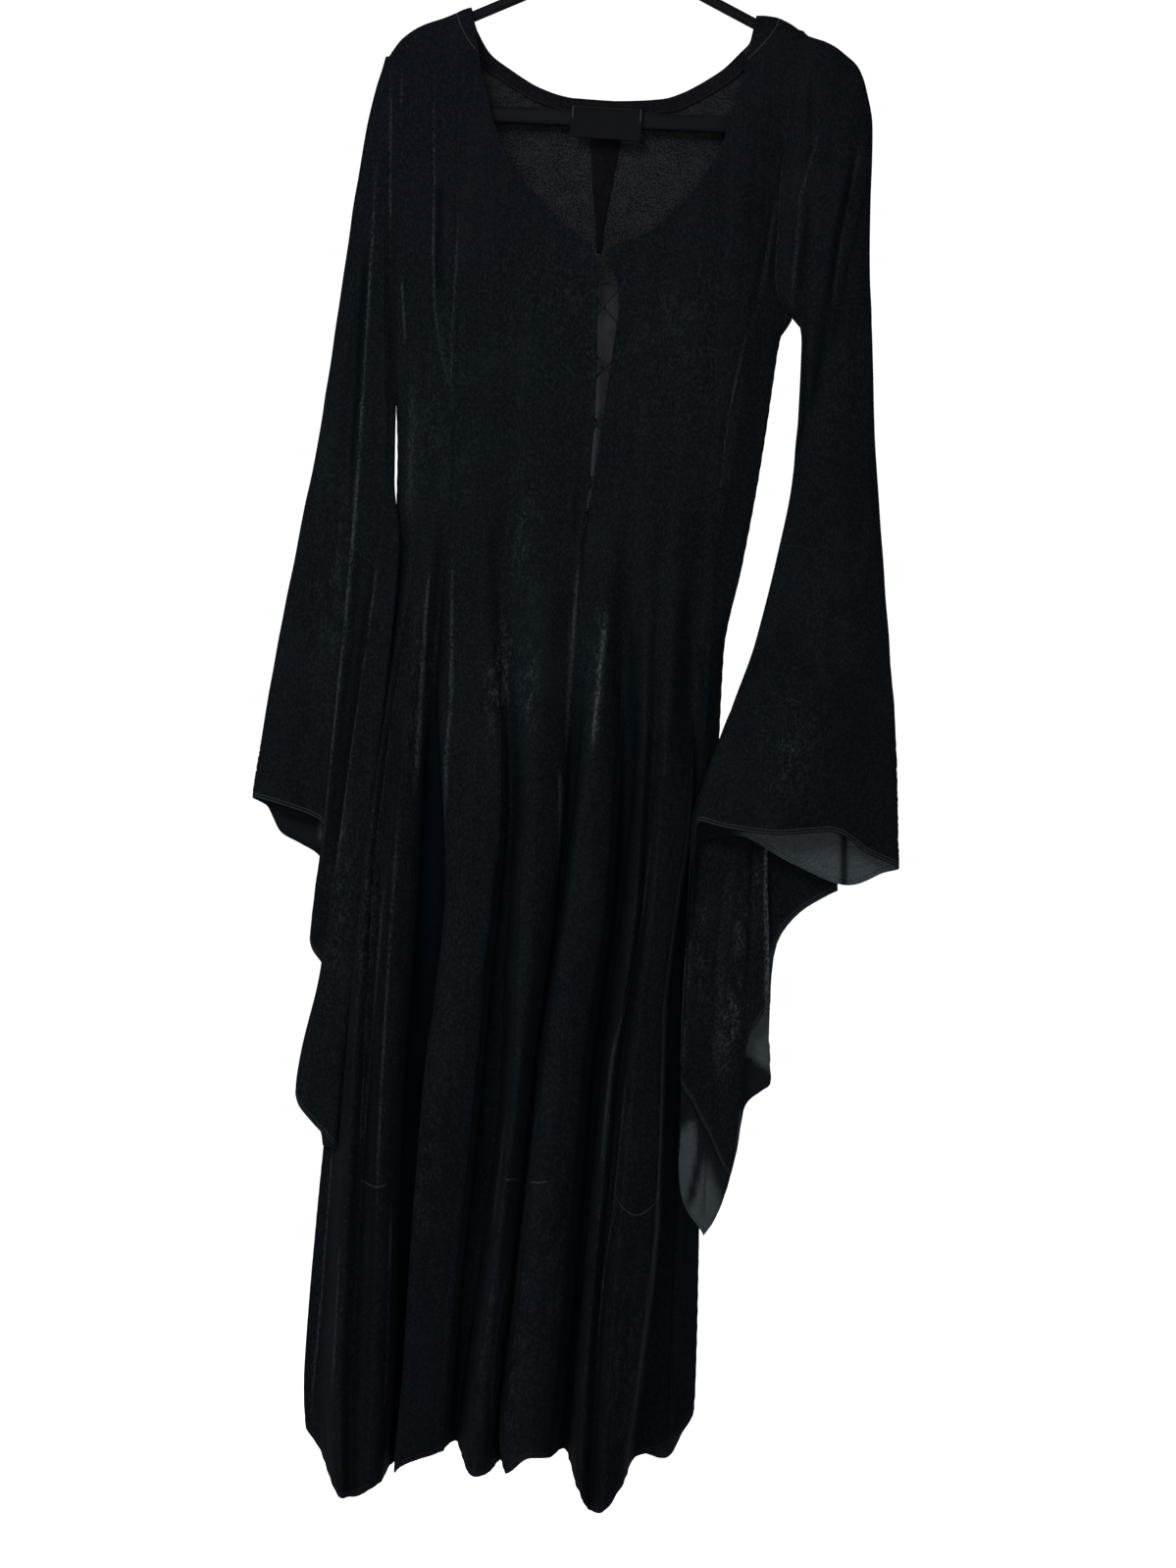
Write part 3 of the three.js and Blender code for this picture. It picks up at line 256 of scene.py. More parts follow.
def through(values, place):
    # Catmull-Rom value at a place along the first axis of values, which has one extra row
    # before the first fold and one after the last
    index = np.clip(np.floor(place).astype(int), 0, len(values) - 4)
    t = place - index
    a, b, c, d = (np.take_along_axis(values, (index + k)[None], 0)[0] for k in range(4))
    return 0.5 * (2 * b + (c - a) * t + (2 * a - 5 * b + 4 * c - d) * t**2 + (3 * b - a - 3 * c + d) * t**3)


def lengthAlong(points, axis):
    # Running length of the grid's lines along one axis, from 0 at its start
    step = np.linalg.norm(np.diff(points, axis=axis), axis=2)
    lead = np.zeros_like(np.take(step, [0], axis))
    return np.concatenate([lead, np.cumsum(step, axis)], axis)


def outwards(points, sign):
    # Unit normals of a grid from its central differences, turned to the outer side
    normal = np.cross(np.gradient(points, axis=0), np.gradient(points, axis=1)) * sign
    return normal / np.maximum(np.linalg.norm(normal, axis=2, keepdims=True), 1e-9)


def ripple(u, v, seed, sizes):
    # Soft unevenness: a sum of slanted sine waves with fixed phases, about -1 to 1
    random = np.random.default_rng(seed)
    total = 0
    for size in sizes:
        for turn in random.uniform(-0.9, 0.9, 3):
            along = (u * math.cos(turn) + v * math.sin(turn)) / size
            total = total + np.sin(2 * math.pi * along + random.uniform(0, 6.28))
    return total / (3 * len(sizes)) * 1.6


def makePiece(name, node, points, faces, smooth, finishes):
    # Points in metres and faces to a mesh and its piece, which stands for a node of the CAD
    mesh = bpy.data.meshes.new(name)
    mesh.from_pydata(points, [], faces)
    for finish in finishes:
        mesh.materials.append(finish.material)
    mesh.polygons.foreach_set("use_smooth", smooth)
    mesh.update()
    piece = addObject(name, mesh)
    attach(piece, "root")
    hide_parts(node)
    return piece


def makeSheet(name, node, points, finishes, wall, outer, marks={}):
    # Grid of points (rows, columns, 3) in millimetres to a mesh of squares in metres, with
    # lengths along the cloth as its UV map, marks as attributes, and a wall added by Solidify.
    rows, columns = points.shape[:2]
    start = (np.arange(rows - 1)[:, None] * columns + np.arange(columns - 1)).ravel()
    faces = np.stack([start, start + columns, start + columns + 1, start + 1], 1)
    faces = faces if outer > 0 else faces[:, ::-1]
    smooth = np.ones(len(faces), bool)
    piece = makePiece(name, node, points.reshape(-1, 3) * 0.001, faces, smooth, finishes)
    mesh = piece.data
    across, down = lengthAlong(points, 1) * 0.001, lengthAlong(points, 0) * 0.001
    uv = np.stack([across, down], 2).reshape(-1, 2)
    mesh.uv_layers.new(name="cloth").data.foreach_set("uv", uv[faces.ravel()].astype(np.float32).ravel())
    for mark, values in marks.items():
        attribute = mesh.attributes.new(mark, "FLOAT", "POINT")
        attribute.data.foreach_set("value", np.ascontiguousarray(values, np.float32).ravel())
    solid = piece.modifiers.new("wall", "SOLIDIFY")
    solid.thickness = wall * 0.001
    solid.offset = 0
    solid.material_offset = len(finishes) - 1
    solid.material_offset_rim = 0
    quads = np.cross(points[1:, 1:] - points[:-1, :-1], points[1:, :-1] - points[:-1, 1:])


# Gown's body: each fold is a ridge, valley or edge that runs down the cloth
underarm = {"left": -517, "right": -411}
armholeTop = {"left": -181, "right": -133}
waistHeight, waistFold = -655, 0.1  # and the share of the folds' stand at the waist
shoulderRound = 9  # height over which front and back close at the shoulders
seamGap, cadWall, clothWall = 0.3, 1.6, 1.1
armholeHalf, armholeShape, closing = 13, 0.55, 40  # half width, its fullness, height of the closing
# Height, left edge, right edge, flare at the right underarm, depth of the front and of the back
bodyLevels = [
    (-125, -217, 176, 0, 10, 9), (-180, -217.5, 173, 0, 15, 11), (-222, -215, 168.6, 0, 18, 13),
    (-300, -210, 165, 0, 24, 16), (-370, -204.5, 165.5, 0, 28, 19), (-395, -202.5, 167, 4, 28.5, 20),
    (-411, -201.3, 169, 16, 28.5, 20.5), (-432, -200, 170.3, 4.5, 28, 21), (-479, -195.5, 170.2, 0, 27, 21),
    (-520, -189.5, 166.8, 0, 25, 21), (-580, -184.8, 160.8, 0, 22, 20), (-655, -182.8, 151.2, 0, 20, 20),
]
# Height, depth of the front and of the back, share of the folds' full depth
skirtLevels = [
    (-740, 26, 26, 0.26), (-832, 33, 33, 0.45), (-978, 42, 41, 0.7), (-1160, 48, 48, 0.9), (-1450, 52, 52, 1),
    (-1560, 52, 52, 1),
]
# Fold, share across the bodice, places at the last five skirt heights, stand, hem height
frontFolds = [
    ("leftSide", 0, None, 0, -1507),
    ("leftTurn", 0.02, (-190.5, -200, -206, -208, -200), 12, -1532),
    ("outerRidge", 0.05, (-182, -189, -190, -186, -177), -36, -1559),
    ("outerDip", 0.077, (-172, -178, -175, -171, -166), -18, -1562),
    ("secondRidge", 0.108, (-158, -159, -158, -149, -147), -36, -1547),
    ("firstValley", 0.14, (-139, -134, -139, -134, -134), 35, -1542),
    ("princessLeft", 0.17, (-121, -108, -120, -120, -118), -20, -1523),
    ("broadFace", 0.258, (-79, -67, -81, -89, -96), -26, -1512),
    ("secondValley", 0.318, (-64, -52, -65, -77, -78), 29, -1508),
    ("thirdRidge", 0.43, (-32, -27, -38, -50, -47), -36, -1526),
    ("centreFront", 0.536, (1, -7, -22, -30, -15), 22, -1523),
    ("fourthRidge", 0.612, (23, 18, 3, -2, 8), -34, -1506),
    ("thirdValley", 0.672, (46, 45, 33, 29, 30), 36, -1512),
    ("fifthRidge", 0.726, (65, 66, 53, 46, 48), -30, -1534),
    ("ridgeCrease", 0.766, (77, 76, 63, 59, 61), -14, -1558),
    ("sixthRidge", 0.812, (90, 87, 78, 73, 74), -42, -1549),
    ("fourthValley", 0.868, (106, 104, 104, 100, 100), 32, -1521),
    ("princessRight", 0.925, (126, 124, 125, 131, 136), 32, -1508),
    ("rightSide", 1, None, 0, -1479),
]
# Fold, share across, stand, hem height
backFolds = [
    ("rightSide", 1, 0, -1479), ("backTurn", 0.972, -2, -1506), ("backDipA", 0.93, -14, -1530),
    ("backRidgeA", 0.85, 26, -1537), ("backValleyA", 0.755, -24, -1538),
    ("backRidgeB", 0.665, 30, -1540), ("backRidgeC", 0.6, 10, -1540), ("centreBack", 0.547, -26, -1539),
    ("backRidgeD", 0.46, 28, -1542), ("backValleyB", 0.36, -24, -1520), ("backRidgeE", 0.27, 31, -1543),
    ("backValleyC", 0.18, -20, -1544), ("backRidgeF", 0.085, 18, -1540), ("leftSide", 0, 0, -1507),
]
# Upper edges of the bodice as seen from the front: x and height
leftShoulder = [(-218, -181), (-207, -165), (-189, -151.5), (-166, -142), (-143, -131)]
rightShoulder = [(134, -121.8), (141, -121.3), (152, -122), (164, -126), (176, -132.5)]
frontNeckLeft = [
    (-137, -149), (-129, -190), (-120, -222), (-111, -250), (-95, -282), (-69, -313), (-39, -340), (-15, -357),
    (-4, -375),
]
frontNeckRight = [
    (3, -363), (23, -352), (41, -344), (68, -319), (90, -289), (106, -256), (114, -227), (123, -188), (131, -145),
]
backNeck = [
    (-139, -141), (-135, -151), (-121, -171.5), (-101, -184.5), (-72, -200), (-40, -208), (0, -208.5), (48, -203.5),
    (71, -194.5), (103, -173), (121, -154), (131, -141),
]
# Height, gap
slitGap = [
    (-355, 7), (-376, 12), (-393, 20), (-418, 20), (-451, 16), (-498, 10.5), (-545, 7), (-593, 4), (-630, 1),
    (-655, 0),
]
# Places and side depths of the skirt's two side seams at the six skirt heights
skirtLeft = [-188.5, -196, -205.5, -213.6, -222.8, -214]
skirtRight = [139.4, 141, 144, 146, 156.6, 158.6]
sideDepthLeft = [1, 3, 5, 6, 6, 6]
sideDepthRight = [8, 22, 32, 34, 30, 30]


# Pleats of the front skirt: fold place of the ridge before, the valley and the ridge after, half
# the walls' width, shade; then height and the fold places of the valley's left and right edge
pleats = [
    (4.3, 5.0, 6.4, 0.13, 0.8, (-760, 5.0, 5.4), (-850, 4.8, 5.8), (-960, 4.72, 5.84), (-1100, 4.78, 6.0),
     (-1300, 4.8, 5.8), (-1450, 4.84, 5.76), (-1520, 4.84, 5.5)),
    (7.1, 8.0, 8.9, 0.28, 0.0, (-850, 7.9, 8.4), (-900, 7.7, 8.38), (-975, 7.2, 8.2), (-1050, 7.24, 8.36),
     (-1125, 7.66, 8.7), (-1200, 7.84, 8.86), (-1350, 7.8, 8.8), (-1510, 8.05, 8.48)),
    (9.4, 10.0, 10.8, 0.15, 0.5, (-855, 9.8, 10.32), (-1045, 10.06, 10.37), (-1195, 10.04, 10.38),
     (-1345, 10.0, 10.28), (-1440, 9.86, 10.12), (-1500, 9.6, 9.85)),
    (11.3, 12.0, 12.9, 0.28, 0.5, (-855, 12.0, 12.9), (-1000, 12.06, 12.62), (-1150, 12.04, 12.76),
     (-1350, 12.08, 12.76), (-1500, 11.9, 12.54)),
    (15.3, 16.1, 17.3, 0.2, 0.35, (-850, 16.5, 16.98), (-925, 16.5, 16.8), (-1000, 16.18, 16.64),
     (-1075, 15.96, 16.86), (-1290, 16.26, 17.04), (-1440, 16.04, 17.04), (-1500, 15.84, 16.94)),
]
pleatWall = {"top": 740, "full": 900, "calm": (0, 4, 7, 11, 13.2, 15, 18)}


def pleatEdges(pleat, z):
    # Fold places of a pleat's left and right edge at a height, straight between its rows
    rows = np.array(pleat[5:][::-1], float)
    return np.interp(z, rows[:, 0], rows[:, 1]), np.interp(z, rows[:, 0], rows[:, 2])


def pleated(place, z):
    # Fold place whose depth shows at a place: a sum of ramps that lingers on each ridge and in
    # each valley and steps between them within half a wall of the pleats' edges
    knots = [(at + 0 * z, at) for at in pleatWall["calm"]]
    for pleat in pleats:
        left, right = pleatEdges(pleat, z)
        half = pleat[3]
        before, valley, after = pleat[:3]
        knots += [(left - half, before), (left + half, valley), (right - half, valley), (right + half, after)]
    knots.sort(key=lambda knot: float(np.mean(knot[0])))
    total = knots[0][1] + 0 * place
    for (a, low), (b, high) in zip(knots[:-1], knots[1:]):
        total = total + (high - low) * np.clip((place - a) / np.maximum(b - a, 0.02), 0, 1)
    return mix(place, total, ease(-z, pleatWall["top"], pleatWall["full"]))


def armholeDepth(z, top, foot):
    # Half the armhole's width, front to back, at a height between its top and the underarm
    t = np.clip((top - z) / (top - foot), 0, 1)
    return np.where(t < 1, armholeHalf * np.sqrt(np.sin(math.pi * t**armholeShape) + 1e-9), 0)


def bodyCurves(folds, front):
    # Across and depth of each fold as smooth curves of height: the depth is a rounded section,
    # (1 - |2 share - 1|^3.4)^0.5 of the half depth, with the fold's stand added as the skirt opens
    sign = -1 if front else 1
    heights = [level[0] for level in bodyLevels + skirtLevels]
    waist = bodyLevels[-1]
    curves = []
    for name, share, *rest in folds:
        places, stand = (rest[0], rest[1]) if front else (None, rest[0])
        edge = share in (0, 1)
        section = sign * (1 - abs(2 * share - 1) ** 3.4) ** 0.5
        xs, ys = [], []
        for z, left, right, flare, frontDepth, backDepth in bodyLevels:
            xs.append(mix(left, right + flare * share**20, share))
            bulge = 0 if edge else section * (frontDepth if front else backDepth)
            ys.append(bulge + stand * (waistFold if z == waistHeight else 0))
        for i, (z, frontDepth, backDepth, fold) in enumerate(skirtLevels):
            x = mix(skirtLeft[i], skirtRight[i], share)
            if places:
                x = places[i - 1] if i else mix(mix(waist[1], waist[2], share), places[0], 0.48)
            xs.append(x)
            if edge:
                depth = (sideDepthLeft if share == 0 else sideDepthRight)[i]
            else:
                depth = section * (frontDepth if front else backDepth)
                depth += 0 if front else mix(sideDepthLeft[i], sideDepthRight[i], share**3) * 0.5
            ys.append(depth + stand * fold)
        curves.append((smoothCurve(heights, xs), smoothCurve(heights, ys), share))
    return curves


frontCurves, backCurves = bodyCurves(frontFolds, True), bodyCurves(backFolds, False)
frontLast, backLast = len(frontFolds) - 1, len(backFolds) - 1
foldNames = [row[0] for row in frontFolds]
princessLeft, centreFront, princessRight = map(foldNames.index, ("princessLeft", "centreFront", "princessRight"))
centreBack = [row[0] for row in backFolds].index("centreBack")
shoulderLine = rowCurve(leftShoulder + [(0, -80)] + rightShoulder, 0, 1)
slitWidth = rowCurve(slitGap, 0, 1)
leftEdge = rowCurve(leftShoulder + frontNeckLeft, 0, 1)
rightEdge = rowCurve(frontNeckRight + rightShoulder, 0, 1)
backEdge = rowCurve(leftShoulder + backNeck + rightShoulder, 0, 1)
frontHem = smoothCurve(range(frontLast + 1), [row[-1] for row in frontFolds])
backHem = smoothCurve(range(backLast + 1), [row[-1] for row in backFolds])


def foldStack(front, z):
    # Across and depth of every fold at the heights z; above the underarms the armholes stand open
    sign = -1 if front else 1
    xs, ys = [], []
    for across, depth, share in frontCurves if front else backCurves:
        left = armholeDepth(z, armholeTop["left"], underarm["left"]) * (1 - share) ** 6
        right = armholeDepth(z, armholeTop["right"], underarm["right"]) * share**6
        xs.append(across(z))
        ys.append(depth(z) + sign * (left + right))
    return np.array(xs), np.array(ys)


def bodyPoint(front, place, z, rightOfSlit=False):
    # Point of the front or back for fold places and heights: a smooth section through the
    # folds, drawn together at the shoulder ridge, and moved right for the slit's right side
    place, z = np.broadcast_arrays(np.asarray(place, float), np.asarray(z, float))
    mine, other = foldStack(front, z), foldStack(not front, z)
    first, last = ("left", "right") if front else ("right", "left")
    starts, ends = (np.clip((underarm[side] + closing - z) / closing, 0, 1) for side in (first, last))
    section = []
    for own, far, at in zip(mine, other, (place, pleated(place, z) if front else place)):
        before = mix(2 * own[0] - own[1], far[-2], starts)
        after = mix(2 * own[-1] - own[-2], far[1], ends)
        section.append(through(np.concatenate([before[None], own, after[None]]), at))
    x, y = section
    shift = slitWidth(z) * np.clip(centreFront + 1 - place, 0, 1) if rightOfSlit else 0
    below = np.clip((shoulderLine(x + shift) - z) / shoulderRound, 0, 1)
    close = np.sqrt(1 - (1 - below) ** 2)
    ridge = (-1 if front else 1) * seamGap * 0.5
    return np.stack([x + shift, ridge + y * close, z], -1)


def topOf(front, place, rightOfSlit=False):
    # Height at which a fold line meets the upper edge, found by steps towards it
    z = np.full(len(place), -220.0)
    onRight = rightOfSlit | (place > centreFront + 1)
    for step in range(26):
        x = bodyPoint(front, place, z, rightOfSlit)[:, 0]
        edge = np.where(onRight, rightEdge(x), leftEdge(x)) if front else backEdge(x)
        z = mix(z, edge, 0.6)
    return z


def placeAt(front, x, z):
    # Fold place that shows at x and z from the front, by Newton steps
    x, z = np.broadcast_arrays(np.asarray(x, float), np.asarray(z, float))
    last = frontLast if front else backLast
    dense = np.linspace(0, last - 0.01, 400)
    rough = bodyPoint(front, dense, np.full(400, float(np.mean(z))))[:, 0]
    order = np.argsort(rough)
    place = np.interp(x, rough[order], dense[order])
    for step in range(8):
        here = bodyPoint(front, place, z)[..., 0]
        slope = (bodyPoint(front, place + 0.01, z)[..., 0] - here) / 0.01
        place = np.clip(place - (here - x) / slope, 0, last - 0.01)
    return place


def insidePoint(front, x, z, lift):
    # Point inside the gown, lift off the inner face of the front or back
    place = placeAt(front, x, z)
    point = bodyPoint(front, place, z)
    along = bodyPoint(front, place + 0.01, z) - bodyPoint(front, place - 0.01, z)
    down = bodyPoint(front, place, z - 0.5) - bodyPoint(front, place, z + 0.5)
    normal = np.cross(along, down)
    normal /= np.linalg.norm(normal, axis=-1, keepdims=True)
    normal *= np.where((normal[..., 1:2] < 0) == front, -1, 1)
    return point + normal * (cadWall / 2 + np.asarray(lift)[..., None])


# Columns a fold, rows down the bodice and the skirt, and distances of the rows by an edge
edgeRows = np.array([0, 0.8, 1.8, 3, 4.4, 5.4, 6.8, 9.5, 13])
bodyGrid = {"front": 18, "back": 12, "bodice": 98, "skirt": 104, "foot": 1.15}
# Sinking of the cloth towards a seam, puckers along it and waves in the panel, in mm
seamRoll = {"depth": 0.4, "reach": 2.4, "rise": 20}
bodyCloth = {"pucker": 0.25, "pitch": 2.6, "reach": 9, "waves": 0.55, "sizes": (26, 47, 90), "calm": 14}
hemTurn = {"fold": 5.2, "lift": 0.3, "groove": 0.2, "lines": (1.6, 4.3), "wide": 0.7, "wave": 0.35, "reach": 12}


def stitched(points, normal, fromHem):
    # A turned hem: a step at its fold, two grooves at the stitching and a slight wave in the edge
    v = lengthAlong(points, 1)
    lift = hemTurn["lift"] * (1 - ease(fromHem, hemTurn["fold"], hemTurn["fold"] + 2))
    for line in hemTurn["lines"]:
        lift = lift - hemTurn["groove"] * np.exp(-(((fromHem - line) / hemTurn["wide"]) ** 2))
    wave = np.sin(v / 2.9 + 2 * np.sin(v / 31)) + 0.6 * np.sin(v / 7.3)
    lift = lift + hemTurn["wave"] * wave * np.exp(-fromHem / hemTurn["reach"])
    return points + normal * lift[..., None]


def strokes(across, z, rows):
    # Soft lines down the cloth: each row has its half width, its strength and its places from top
    # to foot; a line is exp(-(off / width)^2) to both sides and fades towards both ends
    total = np.zeros(np.broadcast(across, z).shape)
    for width, strength, *line in rows:
        line = np.array(line[::-1], float)
        low, high = line[0, 1], line[-1, 1]
        fade = (high - low) / 5
        off = across - np.interp(z, line[:, 1], line[:, 0])
        ends = ease(z, low, low + fade) * (1 - ease(z, high - fade, high))
        total = total + strength * ends * np.exp(-((off / width) ** 2))
    return total


def creased(points, normal, creases):
    # Listed creases by x and z: a positive strength is a trough's depth, a negative a ridge's
    return points - normal * strokes(points[..., 0], points[..., 2], creases)[..., None]


def patchMarks(points, patches):
    # Crushed nap: soft ellipses, each with its middle, half width, half height and strength
    x, z = points[..., 0], points[..., 2]
    total = np.zeros(x.shape)
    for px, pz, wide, tall, strength in patches:
        total += strength * np.exp(-(((x - px) / wide) ** 2) - ((z - pz) / tall) ** 2)
    return total


def rolled(across, down, reach):
    # How far the cloth sinks along its side seams, 0 at its top, and the distance to them
    fromSeam = np.minimum(across, across[:, -1:] - across)
    roll = -seamRoll["depth"] * np.exp(-((fromSeam / seamRoll["reach"]) ** 2))
    return roll * (1 - np.exp(-down / reach)), fromSeam


def bodyPanel(front, first, last, rightOfSlit, seed):
    # One panel between two fold places: rows from its upper edge to the waist, then to the
    # hem, closer at both edges; columns a fold, closer at its seams
    steps = bodyGrid["front" if front else "back"]
    places = np.arange(first * steps, last * steps + 1) / steps
    close = [first + d for d in (0.02, 0.045)] + [last - d for d in (0.02, 0.045)]
    corners = frontCorners if front else backCorners
    extra = [c for c in corners if first < c < last and np.abs(places - c).min() > 0.012]
    places = np.unique(np.concatenate([places, close, extra]))
    foot = (frontHem if front else backHem)(places)
    upper = topOf(front, places, rightOfSlit) - edgeRows[:, None]
    inner = mix(upper[-1], waistHeight, np.linspace(0, 1, bodyGrid["bodice"])[1:, None])
    slope = np.gradient(foot) / np.maximum(np.abs(np.gradient(bodyPoint(front, places, foot)[:, 0])), 1)
    tilt = np.sqrt(1 + np.clip(slope, -2.5, 2.5) ** 2)
    lower = foot + bodyGrid["foot"] * edgeRows[::-1, None] * tilt
    skirt = mix(waistHeight, lower[0], np.linspace(0, 1, bodyGrid["skirt"])[1:-1, None])
    z = np.concatenate([upper, inner, skirt, lower])
    points = bodyPoint(front, places[None], z, rightOfSlit)
    normal = outwards(points, -1)
    normal[0] = np.where(np.abs(shoulderLine(points[0, :, :1]) - z[0][:, None]) < 1, (0, 0, 1), normal[0])
    across, down = lengthAlong(points, 1), lengthAlong(points, 0)
    fromHem = (z - foot) / tilt
    roll, fromSeam = rolled(across, down, seamRoll["rise"])
    pucker = np.sin(down / bodyCloth["pitch"] + across / 40) * np.exp(-fromSeam / bodyCloth["reach"])
    calm = 1 - np.exp(-np.minimum(fromSeam, down) / bodyCloth["calm"])
    waves = ripple(across, down * 0.35, seed, bodyCloth["sizes"]) * bodyCloth["waves"] * calm
    lift = roll + (bodyCloth["pucker"] * pucker + waves) * ease(down, 3, 12)
    points = stitched(points + normal * lift[..., None], normal, fromHem)
    points = creased(points, normal, frontCreases if front else backCreases)
    marks = lineMarks(points, places[None], fromHem, frontLines if front else backLines)
    marks["crush"] = patchMarks(points, frontPatches if front else backPatches)
    if front:
        # Painted shade in the pleats, their painted shade tint and a painted highlight along their edges
        dark, edge, hue = pleatMarks(places[None], z)
        marks["shade"] = marks["shade"] + dark
        marks["pleat"] = np.clip(hue, 0, 1) * ease(z, -1340, -1200)
        marks["glint"] = marks["glint"] + edge
    return points, marks


def pleatMarks(place, z):
    # Painted shade inside the pleats, a thin painted highlight along each one's left edge, and
    # where they are, for the pleats' painted shade tint
    dark, edge, hue = 0, 0, 0
    deep = ease(-z, 700, 840) * (1 - 0.5 * ease(-z, 1480, 1550))
    for pleat in pleats:
        left, right = pleatEdges(pleat, z)
        soft = pleat[3]
        inside = ease(place, left - soft / 2, left + soft) * (1 - ease(place, right - soft, right + soft / 2))
        dark = dark + inside * deep * pleat[4]
        hue = hue + ease(place, left - 2 * soft, left) * (1 - ease(place, right, right + 2 * soft)) * deep
        edge = edge + np.exp(-(((place - left + 0.08) / 0.05) ** 2)) * deep * 0.12
    return dark, edge, hue


markLine, markFar = 0.05, 0.2  # what a mark of distance, in metres, holds on its line and far from it


def lineMarks(points, place, fromHem, lines):
    # Painted highlight lines (glint) and painted shade lines (shade), by fold place and by x, with the
    # distances, in metres, to the hem, to the neck's stitching and to the pressed lines
    x, z = points[..., 0], points[..., 2]
    place = np.broadcast_to(place, x.shape)
    marks = {"fromHem": fromHem * 0.001}
    for kind in ("glint", "shade"):
        marks[kind] = strokes(place, z, lines.get(kind + "Folds", [])) + strokes(x, z, lines.get(kind, []))
    away = np.full(x.shape, markFar)
    for line in lines.get("neck", []):
        line = np.array(line[::-1], float)
        off = (x - np.interp(z, line[:, 1], line[:, 0])) * 0.8
        away = np.where((z > line[0, 1]) & (np.sign(x) == np.sign(line[0, 0])), markLine + off * 0.001, away)
    pressed = np.full(x.shape, markFar)
    for first, last, height, sag in lines.get("pressed", []):
        drop = z - height + sag * (1 - ((2 * x - first - last) / (last - first)) ** 2)
        near = (x > first) & (x < last) & (abs(drop) < 30)
        pressed = np.where(near, markLine + drop * 0.001, pressed)
    return {**marks, "toNeck": away, "pressed": pressed}


# Creases drawn one by one: half width, depth of the trough or, below zero, height of the ridge, and
# x and z from top to foot
frontCreases = [
    (3, -1.4, (-171, -205), (-171, -236), (-165, -320), (-158, -430), (-148, -480)),
    (3.2, 1.6, (-161, -285), (-158, -348), (-155, -400), (-150, -440)),
    (3, -0.8, (-142, -330), (-140, -430), (-138, -510)), (2.2, -1.2, (-204, -196), (-202, -240)),
    (3, 1.6, (175, -165), (170, -240), (165, -265), (162, -341), (158, -395)),
    (3.4, -1.4, (170, -225), (159, -342), (145, -422), (135, -468), (127, -533), (123, -620)),
    (4, -1, (-192, -400), (-184, -460), (-180, -540)), (6, 1.2, (-186, -430), (-166, -600)),
    (5, -1.2, (-175, -480), (-170, -640)), (1.8, -0.7, (-14, -395), (-12, -470)), (1.6, 1, (-13, -580), (-13, -650)),
    (12, -1.2, (60, -380), (40, -560)), (14, -1.4, (-90, -360), (-70, -560)), (9, 1, (95, -290), (70, -420)),
    (9, 1, (-110, -300), (-84, -450)),
]
backCreases = [
    (6, 1.6, (-150, -200), (-120, -420)), (5, -1.4, (-165, -260), (-140, -460)), (6, 1.6, (140, -190), (118, -400)),
    (5, -1.4, (150, -280), (130, -480)), (13, 1.4, (-60, -260), (-40, -520)), (13, -1.3, (50, -270), (40, -540)),
    (9, 1.2, (-100, -420), (-70, -640)), (9, 1.2, (95, -430), (70, -640)),
]
